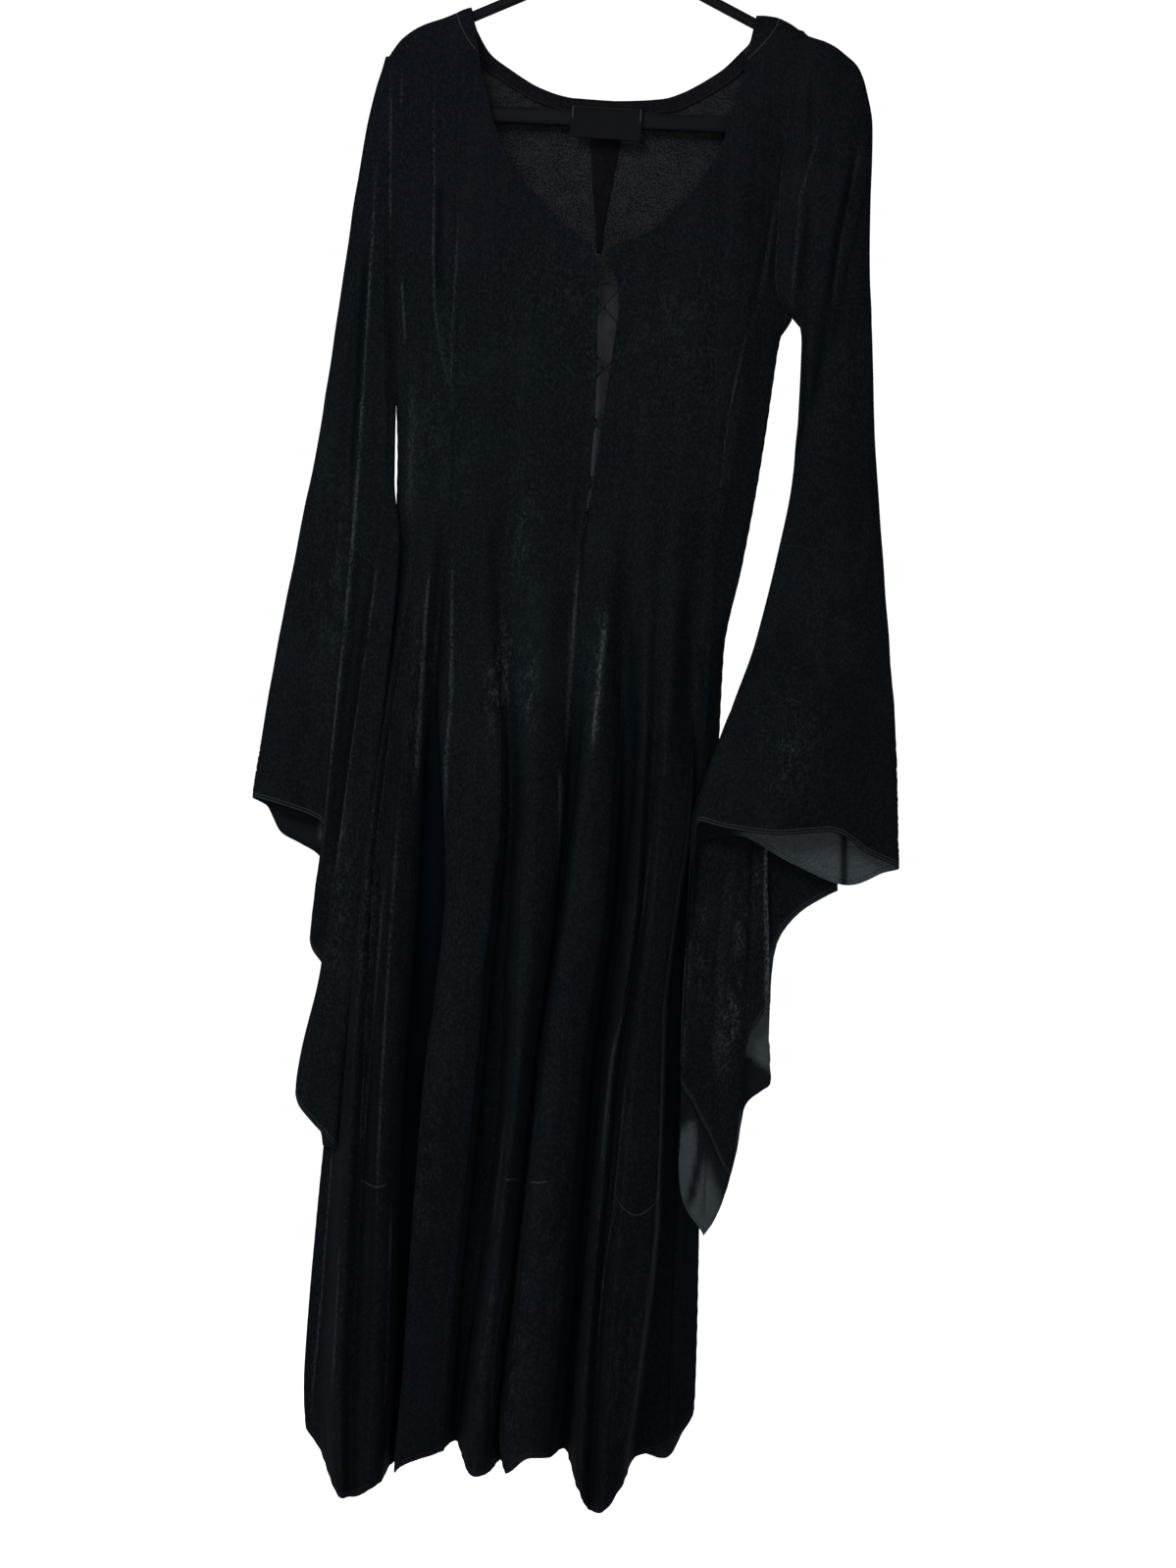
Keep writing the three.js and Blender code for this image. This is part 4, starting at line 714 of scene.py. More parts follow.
# Painted highlight (glint) and painted shade lines: half width in folds or mm, strength, then fold place or x, and z
frontLines = {
    "glintFolds": [
        (0.05, 0.3, (1.45, -760), (1.42, -1120)), (0.05, 0.3, (2.72, -720), (2.7, -1300)),
        (0.05, 0.25, (3.9, -900), (3.86, -1300)), (0.05, 0.4, (9.95, -650), (9.78, -771), (9.74, -840)),
        (0.07, 0.6, (11.1, -700), (10.92, -771), (10.76, -850)),
        (0.1, 0.5, (3.85, -670), (4.22, -738), (4.4, -789), (4.5, -828), (4.5, -900)),
        (0.05, 0.35, (5.96, -640), (6.1, -807), (5.94, -882), (5.7, -950)), (0.05, 0.4, (9.6, -860), (9.9, -960)),
        (0.05, 0.4, (16.4, -830), (16.56, -915)),
        (0.06, 0.45, (14.45, -890), (14.03, -1000), (13.6, -1056), (13, -1125), (13.06, -1250)),
        (0.05, 0.35, (14.5, -1130), (14.34, -1278), (14, -1330), (13.7, -1450)),
        (0.05, 0.3, (3.5, -970), (3.18, -1110), (2.88, -1240)),
        (0.05, 0.35, (1.6, -1130), (0.9, -1230), (0.9, -1344), (0.84, -1422), (0.6, -1510)),
        (0.05, 0.35, (1.88, -1315), (1.86, -1460)), (0.05, 0.3, (4.54, -1270), (4.6, -1500)),
        (0.05, 0.25, (8.92, -1190), (8.92, -1300)), (0.05, 0.25, (10, -1310), (9.55, -1398), (9.55, -1490)),
        (0.05, 0.3, (10.48, -1150), (10.38, -1287), (10.2, -1400)),
        (0.05, 0.35, (15.85, -1070), (16.18, -1287), (16.2, -1356), (15.65, -1500)),
        (0.05, 0.25, (17.26, -1080), (17.26, -1190)),
    ],
    "glint": [
        (1.2, 0.28, (-171.1, -200), (-171.4, -235.8), (-165.7, -308), (-163.1, -371), (-158.3, -428.6),
         (-148.2, -474.2), (-135, -510)),
        (1, 0.2, (-141.8, -330), (-139.6, -399.2), (-140.5, -456.6), (-137.8, -510)),
        (1, 0.2, (-204.2, -198), (-202.7, -238)),
        (1.2, 0.3, (-216.9, -188), (-213.3, -226.6), (-206.9, -330.3), (-207.2, -400.4), (-205, -458.1),
         (-198, -495)),
        (1, 0.25, (-192.5, -395), (-184, -466)), (4, 0.12, (-176, -495), (-169.5, -635)),
        (1.2, 0.2, (177.5, -138), (170.2, -224.5), (165.6, -288.2), (159.4, -341.5), (155.5, -371.1),
         (145.3, -421.9), (135.4, -467.9), (127.5, -532.7), (122.5, -630)),
    ],
    "shadeFolds": [
        (0.12, 0.5, (3.05, -900), (3, -1600)), (0.12, 0.5, (3.75, -760), (3.7, -1600)),
        (0.05, 0.8, (10, -600), (10.1, -690)), (0.05, 0.5, (9.6, -595), (9.72, -640)),
        (0.05, 0.8, (5.42, -510), (5.52, -582), (5.9, -660)), (1.2, 0.45, (6.6, -1080), (6.6, -1300), (6.6, -1750)),
        (0.8, 0.4, (15.2, -1180), (15.2, -1700)), (0.7, 0.35, (11.6, -1150), (11.6, -1700)),
        (1, 0.3, (17.4, -1050), (17.4, -1700)),
        (0.05, 0.8, (17.9, -345), (17.1, -411), (16.86, -468), (16.56, -510), (16.38, -540), (16.66, -630)),
    ],
    "shade": [
        (3, 0.8, (-161.5, -295), (-158.5, -348.1), (-157.2, -385.7), (-152, -425)),
        (2.6, 0.7, (175.5, -165), (170.2, -240.6), (165.1, -264.5), (162.2, -341.3), (159, -390)),
    ],
    "neck": [
        [(155.7, -125.1), (152, -135.8), (145.1, -147.6), (136.3, -158.5), (128.3, -167.6), (121, -176)],
        [(-156.2, -137.5), (-151.7, -149.6), (-144.2, -163.4), (-137, -172.4), (-130.9, -178.7), (-126.8, -185)],
    ],
    "pressed": [(-176, -150, -1262, 2), (-38, 2, -1247, 3), (66, 107, -1258, 16)],
}
# Crushed nap: middle x and z, half width, half height, strength
frontPatches = [
    (-74, -782, 9, 40, 0.8), (-46, -785, 8, 32, 0.6), (-60, -640, 14, 60, 0.2), (-150, -790, 10, 60, 0.25),
    (16, -775, 9, 60, 0.3), (-185, -1010, 14, 80, 0.25), (-120, -1230, 30, 120, 0.15), (40, -1290, 40, 120, 0.15),
    (-40, -1400, 40, 90, 0.15), (-190, -1420, 26, 90, 0.08), (90, -1430, 30, 90, 0.15), (-30, -420, 60, 90, 0.08),
    (80, -450, 50, 110, 0.08), (-150, -520, 24, 90, 0.1),
]
backPatches = [
    (-80, -420, 50, 110, 0.3), (70, -380, 40, 90, 0.3), (-40, -900, 20, 120, 0.5), (60, -1100, 22, 130, 0.45),
    (-150, -1200, 24, 130, 0.4), (0, -1400, 40, 90, 0.35),
]
# Painted highlight (glint) and painted shade lines of the back
backLines = {
    "glintFolds": [
        (0.05, 0.35, (3.1, -740), (3.1, -1520)), (0.06, 0.3, (5, -680), (5, -1220)),
        (0.06, 0.4, (8.05, -740), (8.05, -1500)), (0.06, 0.3, (10, -780), (10, -1520)),
        (0.06, 0.35, (11.9, -880), (11.9, -1520)),
    ],
    "shadeFolds": [
        (0.3, 0.7, (4, -720), (4, -1530)), (0.25, 0.6, (7, -720), (7, -1530)), (0.3, 0.7, (9, -720), (9, -1530)),
        (0.3, 0.7, (11, -720), (11, -1530)),
    ],
    "pressed": [(20, 70, -1255, 4), (-120, -80, -1262, 6)],
}
rightCreases = {
    "front": [
        (3, 1.8, (187.5, -180), (187.2, -235)), (4, -1.4, (194, -190), (199, -420)),
        (3.5, -1.4, (202, -225), (192, -269), (185.5, -298), (185.8, -350), (183, -405)),
        (3, 1.8, (193, -305), (190.6, -363), (188.5, -405)),
        (5, 2.6, (235, -240), (229, -291), (222, -334), (216, -421), (206, -525)),
        (2.6, 1.4, (253, -250), (238, -344), (227, -411), (221, -462)),
        (3, -1.2, (242, -230), (230, -316), (219, -425)),
        (4, 1.4, (199, -405), (202, -466), (203, -513), (197, -560)), (14, -1.2, (225, -560), (215, -760)),
        (14, 1.2, (262, -520), (268, -800)),
    ],
    "back": [
        (6, 1.8, (190, -190), (200, -420)), (6, -1.5, (215, -230), (206, -430)), (6, 1.8, (240, -240), (226, -480)),
        (12, 1.4, (226, -520), (215, -740)),
    ],
}
leftCreases = {
    "front": [
        (3, -1.4, (-224, -265), (-223, -368), (-223.5, -455), (-223.5, -640)),
        (4, 2, (-229, -340), (-230.4, -461), (-230, -610)),
        (4, 1.4, (-219, -610), (-222.5, -745), (-226, -807), (-228.5, -862), (-232, -980)),
        (5, 1.2, (-240, -300), (-243, -520)),
        (3, -1, (-197, -645), (-203.5, -735), (-208.7, -820), (-215, -906), (-218.5, -985)),
        (12, -1.2, (-236, -520), (-250, -780)), (10, 1, (-262, -600), (-272, -820)),
    ],
    "back": [
        (5, 1.6, (-226, -260), (-220, -500)), (6, -1.3, (-240, -330), (-244, -600)),
        (12, 1.2, (-232, -560), (-246, -800)),
    ],
}
rightPatches = [
    (205, -830, 20, 45, 0.3), (238, -700, 26, 90, 0.08), (170, -1005, 6, 36, 0.7), (166, -1082, 9, 30, 1),
    (161, -1118, 7, 24, 0.6), (133, -1020, 5, 60, 0.35), (184, -960, 5, 40, 0.3),
]
leftPatches = [(-240, -700, 22, 110, 0.12), (-215, -1000, 12, 90, 0.2)]
# Painted highlight (glint) and painted shade lines of the sleeves
rightLines = {
    "glintFolds": [
        (0.12, 0.4, (0.5, -150), (0.5, -410)), (0.12, 0.9, (20.93, -895), (20.93, -1100)),
        (0.1, 0.2, (16.2, -970), (16.2, -1160)), (0.12, 0.1, (18.4, -920), (18.4, -1160)),
    ],
    "shadeFolds": [(0.14, 0.7, (19.72, -905), (19.85, -1050)), (0.16, 0.5, (16.25, -895), (16.2, -975))],
    "glint": [
        (2, 0.16, (243, -228), (229.8, -316.3), (218, -432)),
        (1.2, 0.2, (202.5, -222), (192.2, -269.1), (185.5, -297.8), (185.8, -349.7), (183, -408)),
    ],
    "shade": [
        (4.4, 1, (236, -235), (229.2, -290.9), (222.4, -333.8), (216.2, -420.9), (212, -471.1), (205, -530)),
        (1.6, 0.8, (254, -248), (237.9, -343.7), (227.4, -411.4), (220.5, -465)),
        (1.6, 0.5, (187.5, -180), (187.2, -238)), (1.9, 0.7, (193, -308), (190.6, -363.2), (188.6, -408)),
        (2.2, 0.8, (198, -404), (201.8, -466), (202.8, -513.3), (196, -562)), (70, 0.25, (240, -480), (245, -990)),
    ],
}
leftLines = {
    "glintFolds": [(0.12, 0.5, (0.6, -190), (0.6, -430))],
    "glint": [
        (1.3, 0.45, (-224, -265), (-222.9, -367.7), (-223.5, -454.6), (-223.7, -569.9), (-224.7, -661.6),
         (-226.9, -745), (-230.4, -807), (-232.5, -862), (-234.6, -916), (-236.5, -990)),
        (1.3, 0.4, (-196.5, -645), (-203.5, -734.7), (-208.7, -820.1), (-214.8, -905.6), (-218.8, -990)),
    ],
    "shade": [
        (3.6, 0.9, (-228.2, -350), (-230.4, -460.7), (-230.2, -533), (-230, -610)),
        (5, 0.5, (-217, -630), (-221.5, -745), (-224.5, -807), (-227.5, -862), (-231, -990)),
        (3.6, 0.7, (-202.5, -655), (-209, -734.7), (-214.5, -820.1), (-220.5, -905.6), (-224, -980)),
    ],
}
frontCorners = [*placeAt(True, [-144, -142.5, -141, -139], -137), *placeAt(True, [130, 132, 134, 136], -137)]
backCorners = [*placeAt(False, [-144, -142, -140, -138], -139), *placeAt(False, [129, 131, 133, 135], -139)]

# Finishes: the velvet's own colours, the painted shade colours deep, wall and pleat, its shine,
# and its hem stitching in metres from the hem
velvetLook = {
    "dark": (0.0007, 0.0011, 0.0015, 1), "deep": (0.0004, 0.0008, 0.0012, 1),
    "wall": (0.0005, 0.0012, 0.0018, 1), "pleat": (0.0002, 0.0008, 0.0014, 1),
    "light": (0.036, 0.0325, 0.0422, 1), "cool": (0.03, 0.039, 0.044, 1),
    "specular": 0.002, "sheen": 0.003, "sheenRough": 0.3, "tint": (0.75, 0.9, 1.0, 1),
    "hemLines": (0.0016, 0.0043), "hemStitch": (0.003, 0.0005), "neckStitch": (0.0026, 0.0007),
    "thread": 0.08, "neckThread": 0.2, "pressed": 0.16, "pressedLine": (0.0003, 0.0010),
    "nap": 520, "streak": 240, "soft": 55, "cloud": 11, "speck": 1300, "mottle": 150,
    "coolTop": (-0.36, -0.26), "coolFoot": (-1.34, -1.22),
}
# How much of the light colour each kind of wear brings, and the painted highlight of the glint lines
wearAndHighlight = {"crush": 0.4, "glint": 0.6, "nap": 0.036, "speck": 0.045, "streak": 0.003, "soft": 0.008, "cloud": 0.01}


def stitches(away, along, pitch, wide):
    # Row of stitches: near 0 of away, dashes of one pitch along it
    dash = abs((along / pitch).fraction() - 0.5)
    return (1 - abs(away).ease(wide * 0.4, wide)) * (1 - dash.ease(0.36, 0.44))


def makeVelvet(name, look):
    # Short nap: fine grain and streaks down the cloth, lighter where it is crushed, a painted highlight
    # along turned fold edges, painted shade in the pleats, and rows of stitches by the hem and the neck
    f = Finish(name, {
        "Specular IOR Level": look["specular"], "Sheen Weight": look["sheen"],
        "Sheen Roughness": look["sheenRough"], "Sheen Tint": look["tint"],
    })
    place = f.place()
    nap = f.noise(f.stretched(place, (1, 1, 0.6)), look["nap"], 2, 0.7)
    streak = f.noise(f.stretched(place, (1, 1, 0.06)), look["streak"], 3, 0.65)
    soft = f.noise(f.stretched(place, (1, 1, 0.04)), look["soft"], 2)
    cloud = f.noise(place, look["cloud"], 3, 0.6)
    speck = f.noise(place, look["speck"], 1).ease(0.56, 0.74)
    fromHem = f.attribute("fromHem")
    along = f.split(f.uv(), 0)
    lines = sum(stitches(fromHem - line, along, *look["hemStitch"]) for line in look["hemLines"])
    neck = stitches(f.attribute("toNeck") - markLine, f.split(place, 2), *look["neckStitch"])
    pressed = (1 - abs(f.attribute("pressed") - markLine).ease(*look["pressedLine"])) * look["pressed"]
    shade = f.attribute("shade").least(1.0)
    broken = streak.ease(0.35, 0.6) * 0.4 + nap.ease(0.4, 0.62) * 0.6
    mottle = f.noise(f.stretched(place, (1, 1, 0.4)), look["mottle"], 4, 0.75)
    wearAndHighlightShare = f.attribute("crush") * mottle.ease(0.42, 0.62) * nap.ease(0.35, 0.65) * wearAndHighlight["crush"]
    # Painted highlight along the glint lines, broken into specks
    wearAndHighlightShare = wearAndHighlightShare + f.attribute("glint") * broken * wearAndHighlight["glint"]
    wearAndHighlightShare = wearAndHighlightShare + nap.ease(0.42, 0.7) * wearAndHighlight["nap"] + speck * wearAndHighlight["speck"]
    wearAndHighlightShare = wearAndHighlightShare + streak.ease(0.4, 0.7) * wearAndHighlight["streak"]
    wearAndHighlightShare = wearAndHighlightShare + soft.ease(0.4, 0.75) * wearAndHighlight["soft"] + cloud.ease(0.4, 0.75) * wearAndHighlight["cloud"]
    # Painted shade: the shade mark takes the light colour away
    wearAndHighlightShare = (wearAndHighlightShare + pressed) * (1 - shade * 0.9) + lines * look["thread"] + neck * look["neckThread"]
    # Painted shade tint in the pleats (wall, pleat) and painted shade colour (deep) where shade is marked
    inPleat = f.attribute("pleat")
    face, depth = f.blend(inPleat, look["dark"], look["wall"]), f.blend(inPleat, look["deep"], look["pleat"])
    height = f.split(place, 2) + cloud * 0.12
    light = f.blend(height.ease(*look["coolTop"]), look["cool"], look["light"])
    light = f.blend(height.ease(*look["coolFoot"]), look["light"], light)
    f.feed("Base Color", f.blend(wearAndHighlightShare.least(1.0), f.blend(shade, face, depth), light))
    f.feed("Roughness", 0.9 - wearAndHighlightShare.least(1.0) * 0.25)
    f.feed("Normal", f.bump(nap * 0.5 + streak * 0.12 + lines * 0.5, 0.0004, 0.7))
    return f


wrongLooks = {
    "wrongSide": {
        "dark": (0.0009, 0.0011, 0.0012, 1), "light": (0.0072, 0.0082, 0.0086, 1), "grain": 560, "sheen": 0.002,
        # slitTop, slitFoot and slitGrain are painted light behind the slit
        "slitTop": (0.12, 0.13, 0.14, 1), "slitFoot": (0.028, 0.031, 0.036, 1),
        "slitGrain": (0.008, 0.009, 0.011, 1),
    },
    "sleeveInside": {
        "dark": (0.008, 0.0102, 0.0116, 1), "light": (0.0145, 0.018, 0.0198, 1), "grain": 400, "sheen": 0.003,
    },
}


def makeWrongSide(name):
    # Wrong side of the velvet: fine knitted ribs with a grey cast, stitches by the hem, a painted light
    # stretch where the slit lets the light in, and painted shade where the dim mark is set
    look = wrongLooks[name]
    f = Finish(name, {"Specular IOR Level": 0.004, "Sheen Weight": look["sheen"], "Sheen Roughness": 0.5})
    uv = f.uv()
    place = f.place()
    grains = f.noise(uv, look["grain"], 2, 0.8)
    cloud = f.noise(place, 70, 4, 0.7)
    ribs = (f.split(uv, 0) * 5200).sine() * 0.5 + 0.5
    share = grains.ease(0.44, 0.62) * 0.8 + cloud.ease(0.4, 0.7) * 0.25 + ribs * 0.05
    plain = f.blend(share, look["dark"], look["light"])
    if "slitTop" in look:
        height = f.split(place, 2)
        # Painted light where the slit lets the light in
        lit = (1 - abs(f.split(place, 0)).ease(0.008, 0.03)) * (1 - abs(height + 0.53).ease(0.1, 0.165))
        slit = f.blend(1 - height.ease(-0.64, -0.45), look["slitFoot"], look["slitTop"])
        slit = f.blend(grains.ease(0.4, 0.62) * 0.5, slit, look["slitGrain"])
        plain = f.blend(lit, plain, slit)
    away = f.attribute("fromHem")
    lines = sum(stitches(away - line, f.split(uv, 0), 0.003, 0.0006) for line in velvetLook["hemLines"])
    # Painted shade where the dim mark is set, with darker hem stitch lines
    dim = (f.attribute("dim") * 0.9 + lines * 0.6).least(1.0)
    f.feed("Base Color", f.blend(dim, plain, velvetLook["dark"]))
    f.feed("Roughness", 0.8 + grains * 0.1)
    f.feed("Normal", f.bump(grains * 0.6 + ribs * 0.4, 0.0003, 0.5))
    return f


satinLook = {
    "dark": (0.0006, 0.0008, 0.001, 1), "light": (0.03, 0.033, 0.036, 1), "weft": 6300, "warp": 5200,
    "middle": 0.0345, "thread": 0.0022,
}


def makeSatin():
    # Bare woven label: a close weave, and a line of thread down each short end
    look = satinLook
    f = Finish("labelSatin", {"Specular IOR Level": 0.01})
    uv = f.uv()
    u, v = f.split(uv, 0), f.split(uv, 1)
    weave = (v * look["weft"]).sine() * (u * look["warp"]).sine()
    cloud = f.noise(uv, 60, 2)
    off = abs(u - look["middle"])
    edge = off.ease(0.0322, 0.0326) * (1 - off.ease(0.0332, 0.0336))
    thread = 1 - abs((v / look["thread"]).fraction() - 0.5).ease(0.3, 0.4)
    ends = edge * thread * v.ease(0.016, 0.02) * (1 - v.ease(0.03, 0.034))
    f.feed("Base Color", f.blend((ends * 0.4 + cloud * 0.03).least(1.0), look["dark"], look["light"]))
    f.feed("Roughness", 0.5 + cloud * 0.2)
    f.feed("Normal", f.bump(weave * 0.4 + edge * thread, 0.0002, 0.5))
    return f


cordLook = {"dark": (0.001, 0.0013, 0.0016, 1), "light": (0.008, 0.009, 0.01, 1), "lay": 3300, "fuzz": 1800}


def makeCord():
    # Slanted lay of the cord's strands with a little fuzz
    look = cordLook
    f = Finish("laceCord", {"Specular IOR Level": 0.01, "Sheen Weight": 0.002})
    place = f.place()
    lay = ((f.split(place, 2) + f.split(place, 0)) * look["lay"]).sine()
    fuzz = f.noise(place, look["fuzz"], 2)
    f.feed("Base Color", f.blend(lay.ease(-0.2, 1) * 0.6 + fuzz * 0.3, look["dark"], look["light"]))
    f.feed("Roughness", 0.8 - fuzz * 0.15)
    f.feed("Normal", f.bump(lay * 0.6 + fuzz * 0.4, 0.0004, 0.7))
    return f


plasticLook = {"dark": (0.0011, 0.0012, 0.0018, 1), "light": (0.0034, 0.0036, 0.0048, 1), "grain": 900, "rub": 60}


def makePlastic():
    # Dark plastic, rubbed a little lighter along its length
    look = plasticLook
    f = Finish("hangerPlastic", {"Specular IOR Level": 0.012})
    place = f.place()
    grain = f.noise(place, look["grain"], 2)
    rub = f.noise(f.stretched(place, (0.4, 1, 1)), look["rub"], 4, 0.7)
    f.feed("Base Color", f.blend(rub.ease(0.45, 0.8) * 0.5, look["dark"], look["light"]))
    f.feed("Roughness", 0.42 + rub * 0.25)
    f.feed("Normal", f.bump(grain, 0.0001, 0.35))
    return f


steelLook = {"dark": (0.55, 0.56, 0.58, 1), "light": (0.74, 0.75, 0.76, 1), "drawn": 1200, "dull": 45}


def makeSteel():
    # Drawn wire: fine lines along it and dull patches
    look = steelLook
    f = Finish("hookSteel", {"Metallic": 1.0})
    place = f.place()
    drawn = f.noise(f.stretched(place, (1, 1, 0.12)), look["drawn"], 2)
    dull = f.noise(place, look["dull"], 3)
    f.feed("Base Color", f.blend(dull, look["dark"], look["light"]))
    f.feed("Roughness", 0.2 + dull * 0.2)
    f.feed("Normal", f.bump(drawn, 0.00005, 0.3))
    return f


blackVelvet = makeVelvet("blackVelvet", velvetLook)
sleeveVelvet = makeVelvet("sleeveVelvet", {**velvetLook, "thread": 0.22})
# The trim's deep colour is the painted shade of the seam strip
trimVelvet = makeVelvet("trimVelvet", {
    **velvetLook, "hemLines": (0.008,), "dark": (0.0011, 0.0011, 0.0016, 1), "deep": (0.0009, 0.0009, 0.0013, 1),
})
wrongSide = makeWrongSide("wrongSide")
sleeveInside = makeWrongSide("sleeveInside")
labelSatin = makeSatin()
laceCord = makeCord()
hangerPlastic = makePlastic()
hookSteel = makeSteel()
print("finishes ready")


# Sleeves: the folds run from the long point round the front to the outer edge and back
# Height, inner edge, outer edge, half depth
rightLevels = [
    (-133.4, 175.8, 179.5, 2), (-139, 175.6, 186, 5), (-143, 175.4, 202, 8), (-149, 174.9, 215, 10),
    (-165, 174.1, 234.5, 12), (-185, 172.7, 244, 14), (-222, 168.8, 252, 16), (-300, 165.2, 255.4, 18),
    (-370, 166.3, 259, 18), (-395, 171.8, 261.4, 18), (-411, 186.4, 263, 17), (-419, 195, 264, 16.5),
    (-436, 198.6, 265.5, 16), (-512, 199.2, 272, 16), (-570, 196.6, 278.4, 17), (-640, 186.6, 287, 20),
    (-728, 169.5, 297.5, 24),
]
# Fold, share, side, places down the bell, depth, hem height
rightFolds = [
    ("point", 0, -1, (148, 137, 141.4, 151.6, 154.4), 31, -1299),
    ("pointLeft", 0.02, -1, (146, 126, 127, 131, 141), 27, -1272),
    ("innerA", 0.04, -1, (145, 122, 124, 124, 128), 24, -1215),
    ("innerB", 0.06, -1, (144, 121.5, 123.5, 126, 130), 20, -1100),
    ("innerC", 0.08, -1, (144, 121, 124, 128, 130), 0, -932),
    ("frontStart", 0.12, -1, (146, 124, 131, 142, 145), -14, -903),
    ("frontA", 0.27, -1, (166, 150, 159, 170, 172), -21, -908),
    ("frontB", 0.5, -1, (206, 194, 202, 214, 216), -26, -911),
    ("frontC", 0.76, -1, (248, 247, 255, 266, 269), -23, -905),
    ("frontD", 0.92, -1, (281, 284, 293, 304, 307), -15, -924),
    ("outerEdge", 1, -1, (305.4, 311.6, 324, 335, 338), -4, -935),
    ("backA", 0.92, 1, (293, 299, 310, 320, 322), 4, -941),
    ("backCrease", 0.72, 1, (247, 263, 272, 284, 286), 4, -955),
    ("backB", 0.56, 1, (212, 210, 220, 232, 234), 8, -936),
    ("backC", 0.44, 1, (175, 161, 171, 182, 184), 8, -914),
    ("foldLeft", 0.4, 1, (163, 122, 125, 126, 128), 11, -925),
    ("dropLeft", 0.385, 1, (163, 119.5, 121.5, 121, 123), 14, -1148),
    ("dropA", 0.37, 1, (168, 134, 134, 135, 137), 16, -1171),
    ("dropB", 0.355, 1, (177, 152, 144, 152, 154), 16, -1197),
    ("dropC", 0.34, 1, (184, 170, 169, 174, 175), 17, -1238),
    ("dropDip", 0.325, 1, (188, 178, 182, 188, 190), 21, -1111),
    ("dropRidge", 0.31, 1, (192, 190, 200, 207, 209), 18, -1080),
    ("turnRight", 0.295, 1, (191, 189, 199, 206, 208), 23, -1079),
    ("hidden", 0.28, 1, (186, 178, 188, 198, 200), 26, -1043),
    ("wingA", 0.265, 1, (190, 192, 206, 218, 220), 29, -1021),
    ("wingB", 0.25, 1, (205, 205, 217, 230, 232), 30, -1001),
    ("wingC", 0.235, 1, (224, 229, 239, 252, 254), 32, -979),
    ("wingEdge", 0.22, 1, (240, 258, 267, 280, 282), 36, -962),
    ("wingBack", 0.2, 1, (226, 234, 243, 256, 258), 40, -976),
    ("behindA", 0.17, 1, (208, 205, 209, 222, 224), 41, -1016),
    ("behindB", 0.14, 1, (198, 193, 201, 212, 214), 41, -1126),
    ("behindC", 0.115, 1, (190, 187, 199.5, 217, 219), 40, -1151),
    ("behindD", 0.09, 1, (184, 177, 190, 206, 207), 39, -1159),
    ("behindE", 0.065, 1, (176, 163, 176, 191, 193), 38, -1173),
    ("behindF", 0.04, 1, (169, 154, 167, 180, 182), 36.5, -1226),
    ("behindG", 0.02, 1, (159, 145, 155, 166, 169), 34.5, -1274),
    ("pointEnd", 0, 1, (148, 137, 141.4, 151.6, 154.4), 31, -1299),
]
# Height, inner edge, outer edge, half depth
leftLevels = [
    (-182, -217.8, -221.5, 2), (-196, -217.1, -224.6, 4), (-213, -215.9, -229, 7), (-250, -213.5, -235.4, 11),
    (-309, -209.7, -241.6, 15), (-395, -202.9, -249.8, 18), (-440, -199, -254.2, 19), (-500, -192.8, -260.2, 19),
]
# Fold, share, side, places down the bell, depth, hem height
leftFolds = [
    ("seam", 0, -1, (-192, -190, -188, -202.6, -207.8, -214, -217.4, -217.6), -4, -1239),
    ("nearA", 0.03, -1, (-191.6, -189, -178.5, -184.5, -188.5, -195, -201, -203), -34, -1236),
    ("nearB", 0.06, -1, (-192, -191, -187, -198, -203, -209, -217, -218), -38, -1221),
    ("nearFold", 0.10, -1, (-198, -197.6, -197, -211, -216, -225.6, -242, -243), -36, -1194),
    ("nearTurn", 0.13, -1, (-199, -198.6, -198, -212, -217, -226.6, -243, -244), -18, -1176),
    ("nearBack", 0.16, -1, (-198, -197.2, -196, -208, -213, -219, -227, -228), -13, -1088),
    ("middleA", 0.24, -1, (-206, -206.4, -207, -219, -223, -228.6, -229, -229), -10, -1064),
    ("middleFold", 0.42, -1, (-226, -225.6, -225, -231, -234, -242, -238, -238), -8, -1044),
    ("middleTurn", 0.46, -1, (-228, -227.6, -227, -232, -235, -242, -238, -238), -4, -988),
    ("middleBack", 0.48, -1, (-221, -221.4, -222, -227, -229, -222, -216, -216), 0, -953),
    ("farA", 0.6, -1, (-234, -236, -239, -240, -241, -231, -226, -226), 4, -926),
    ("farB", 0.8, -1, (-250, -254, -260, -269, -271, -262, -255, -255), 3, -915),
    ("outerEdge", 1, -1, (-263.8, -270.4, -280.2, -302.8, -309, -300, -292, -292), 12, -907),
    ("backA", 0.9, 1, (-258, -263.6, -272, -292, -296, -286, -278, -278), 20, -914),
    ("backB", 0.72, 1, (-244, -248, -254, -274, -280, -270, -263, -263), 23, -940),
    ("backC", 0.55, 1, (-230, -232.8, -237, -255, -262, -254, -247, -247), 24, -949),
    ("backD", 0.4, 1, (-219, -220.6, -223, -235, -240, -235, -228, -228), 24, -963),
    ("backE", 0.27, 1, (-211, -211, -211, -222, -226, -225, -228, -228), 22, -1083),
    ("backF", 0.14, 1, (-203, -202.6, -202, -213, -218, -221, -226, -226), 14, -1200),
    ("seamEnd", 0, 1, (-192, -190, -188, -202.6, -207.8, -214, -217.4, -217.6), -4, -1239),
]
sleeveGrid = {"upper": 104, "bell": 74}
sleeveCloth = {"rise": 10, "waves": 0.6, "sizes": (24, 43, 80), "calm": 14}
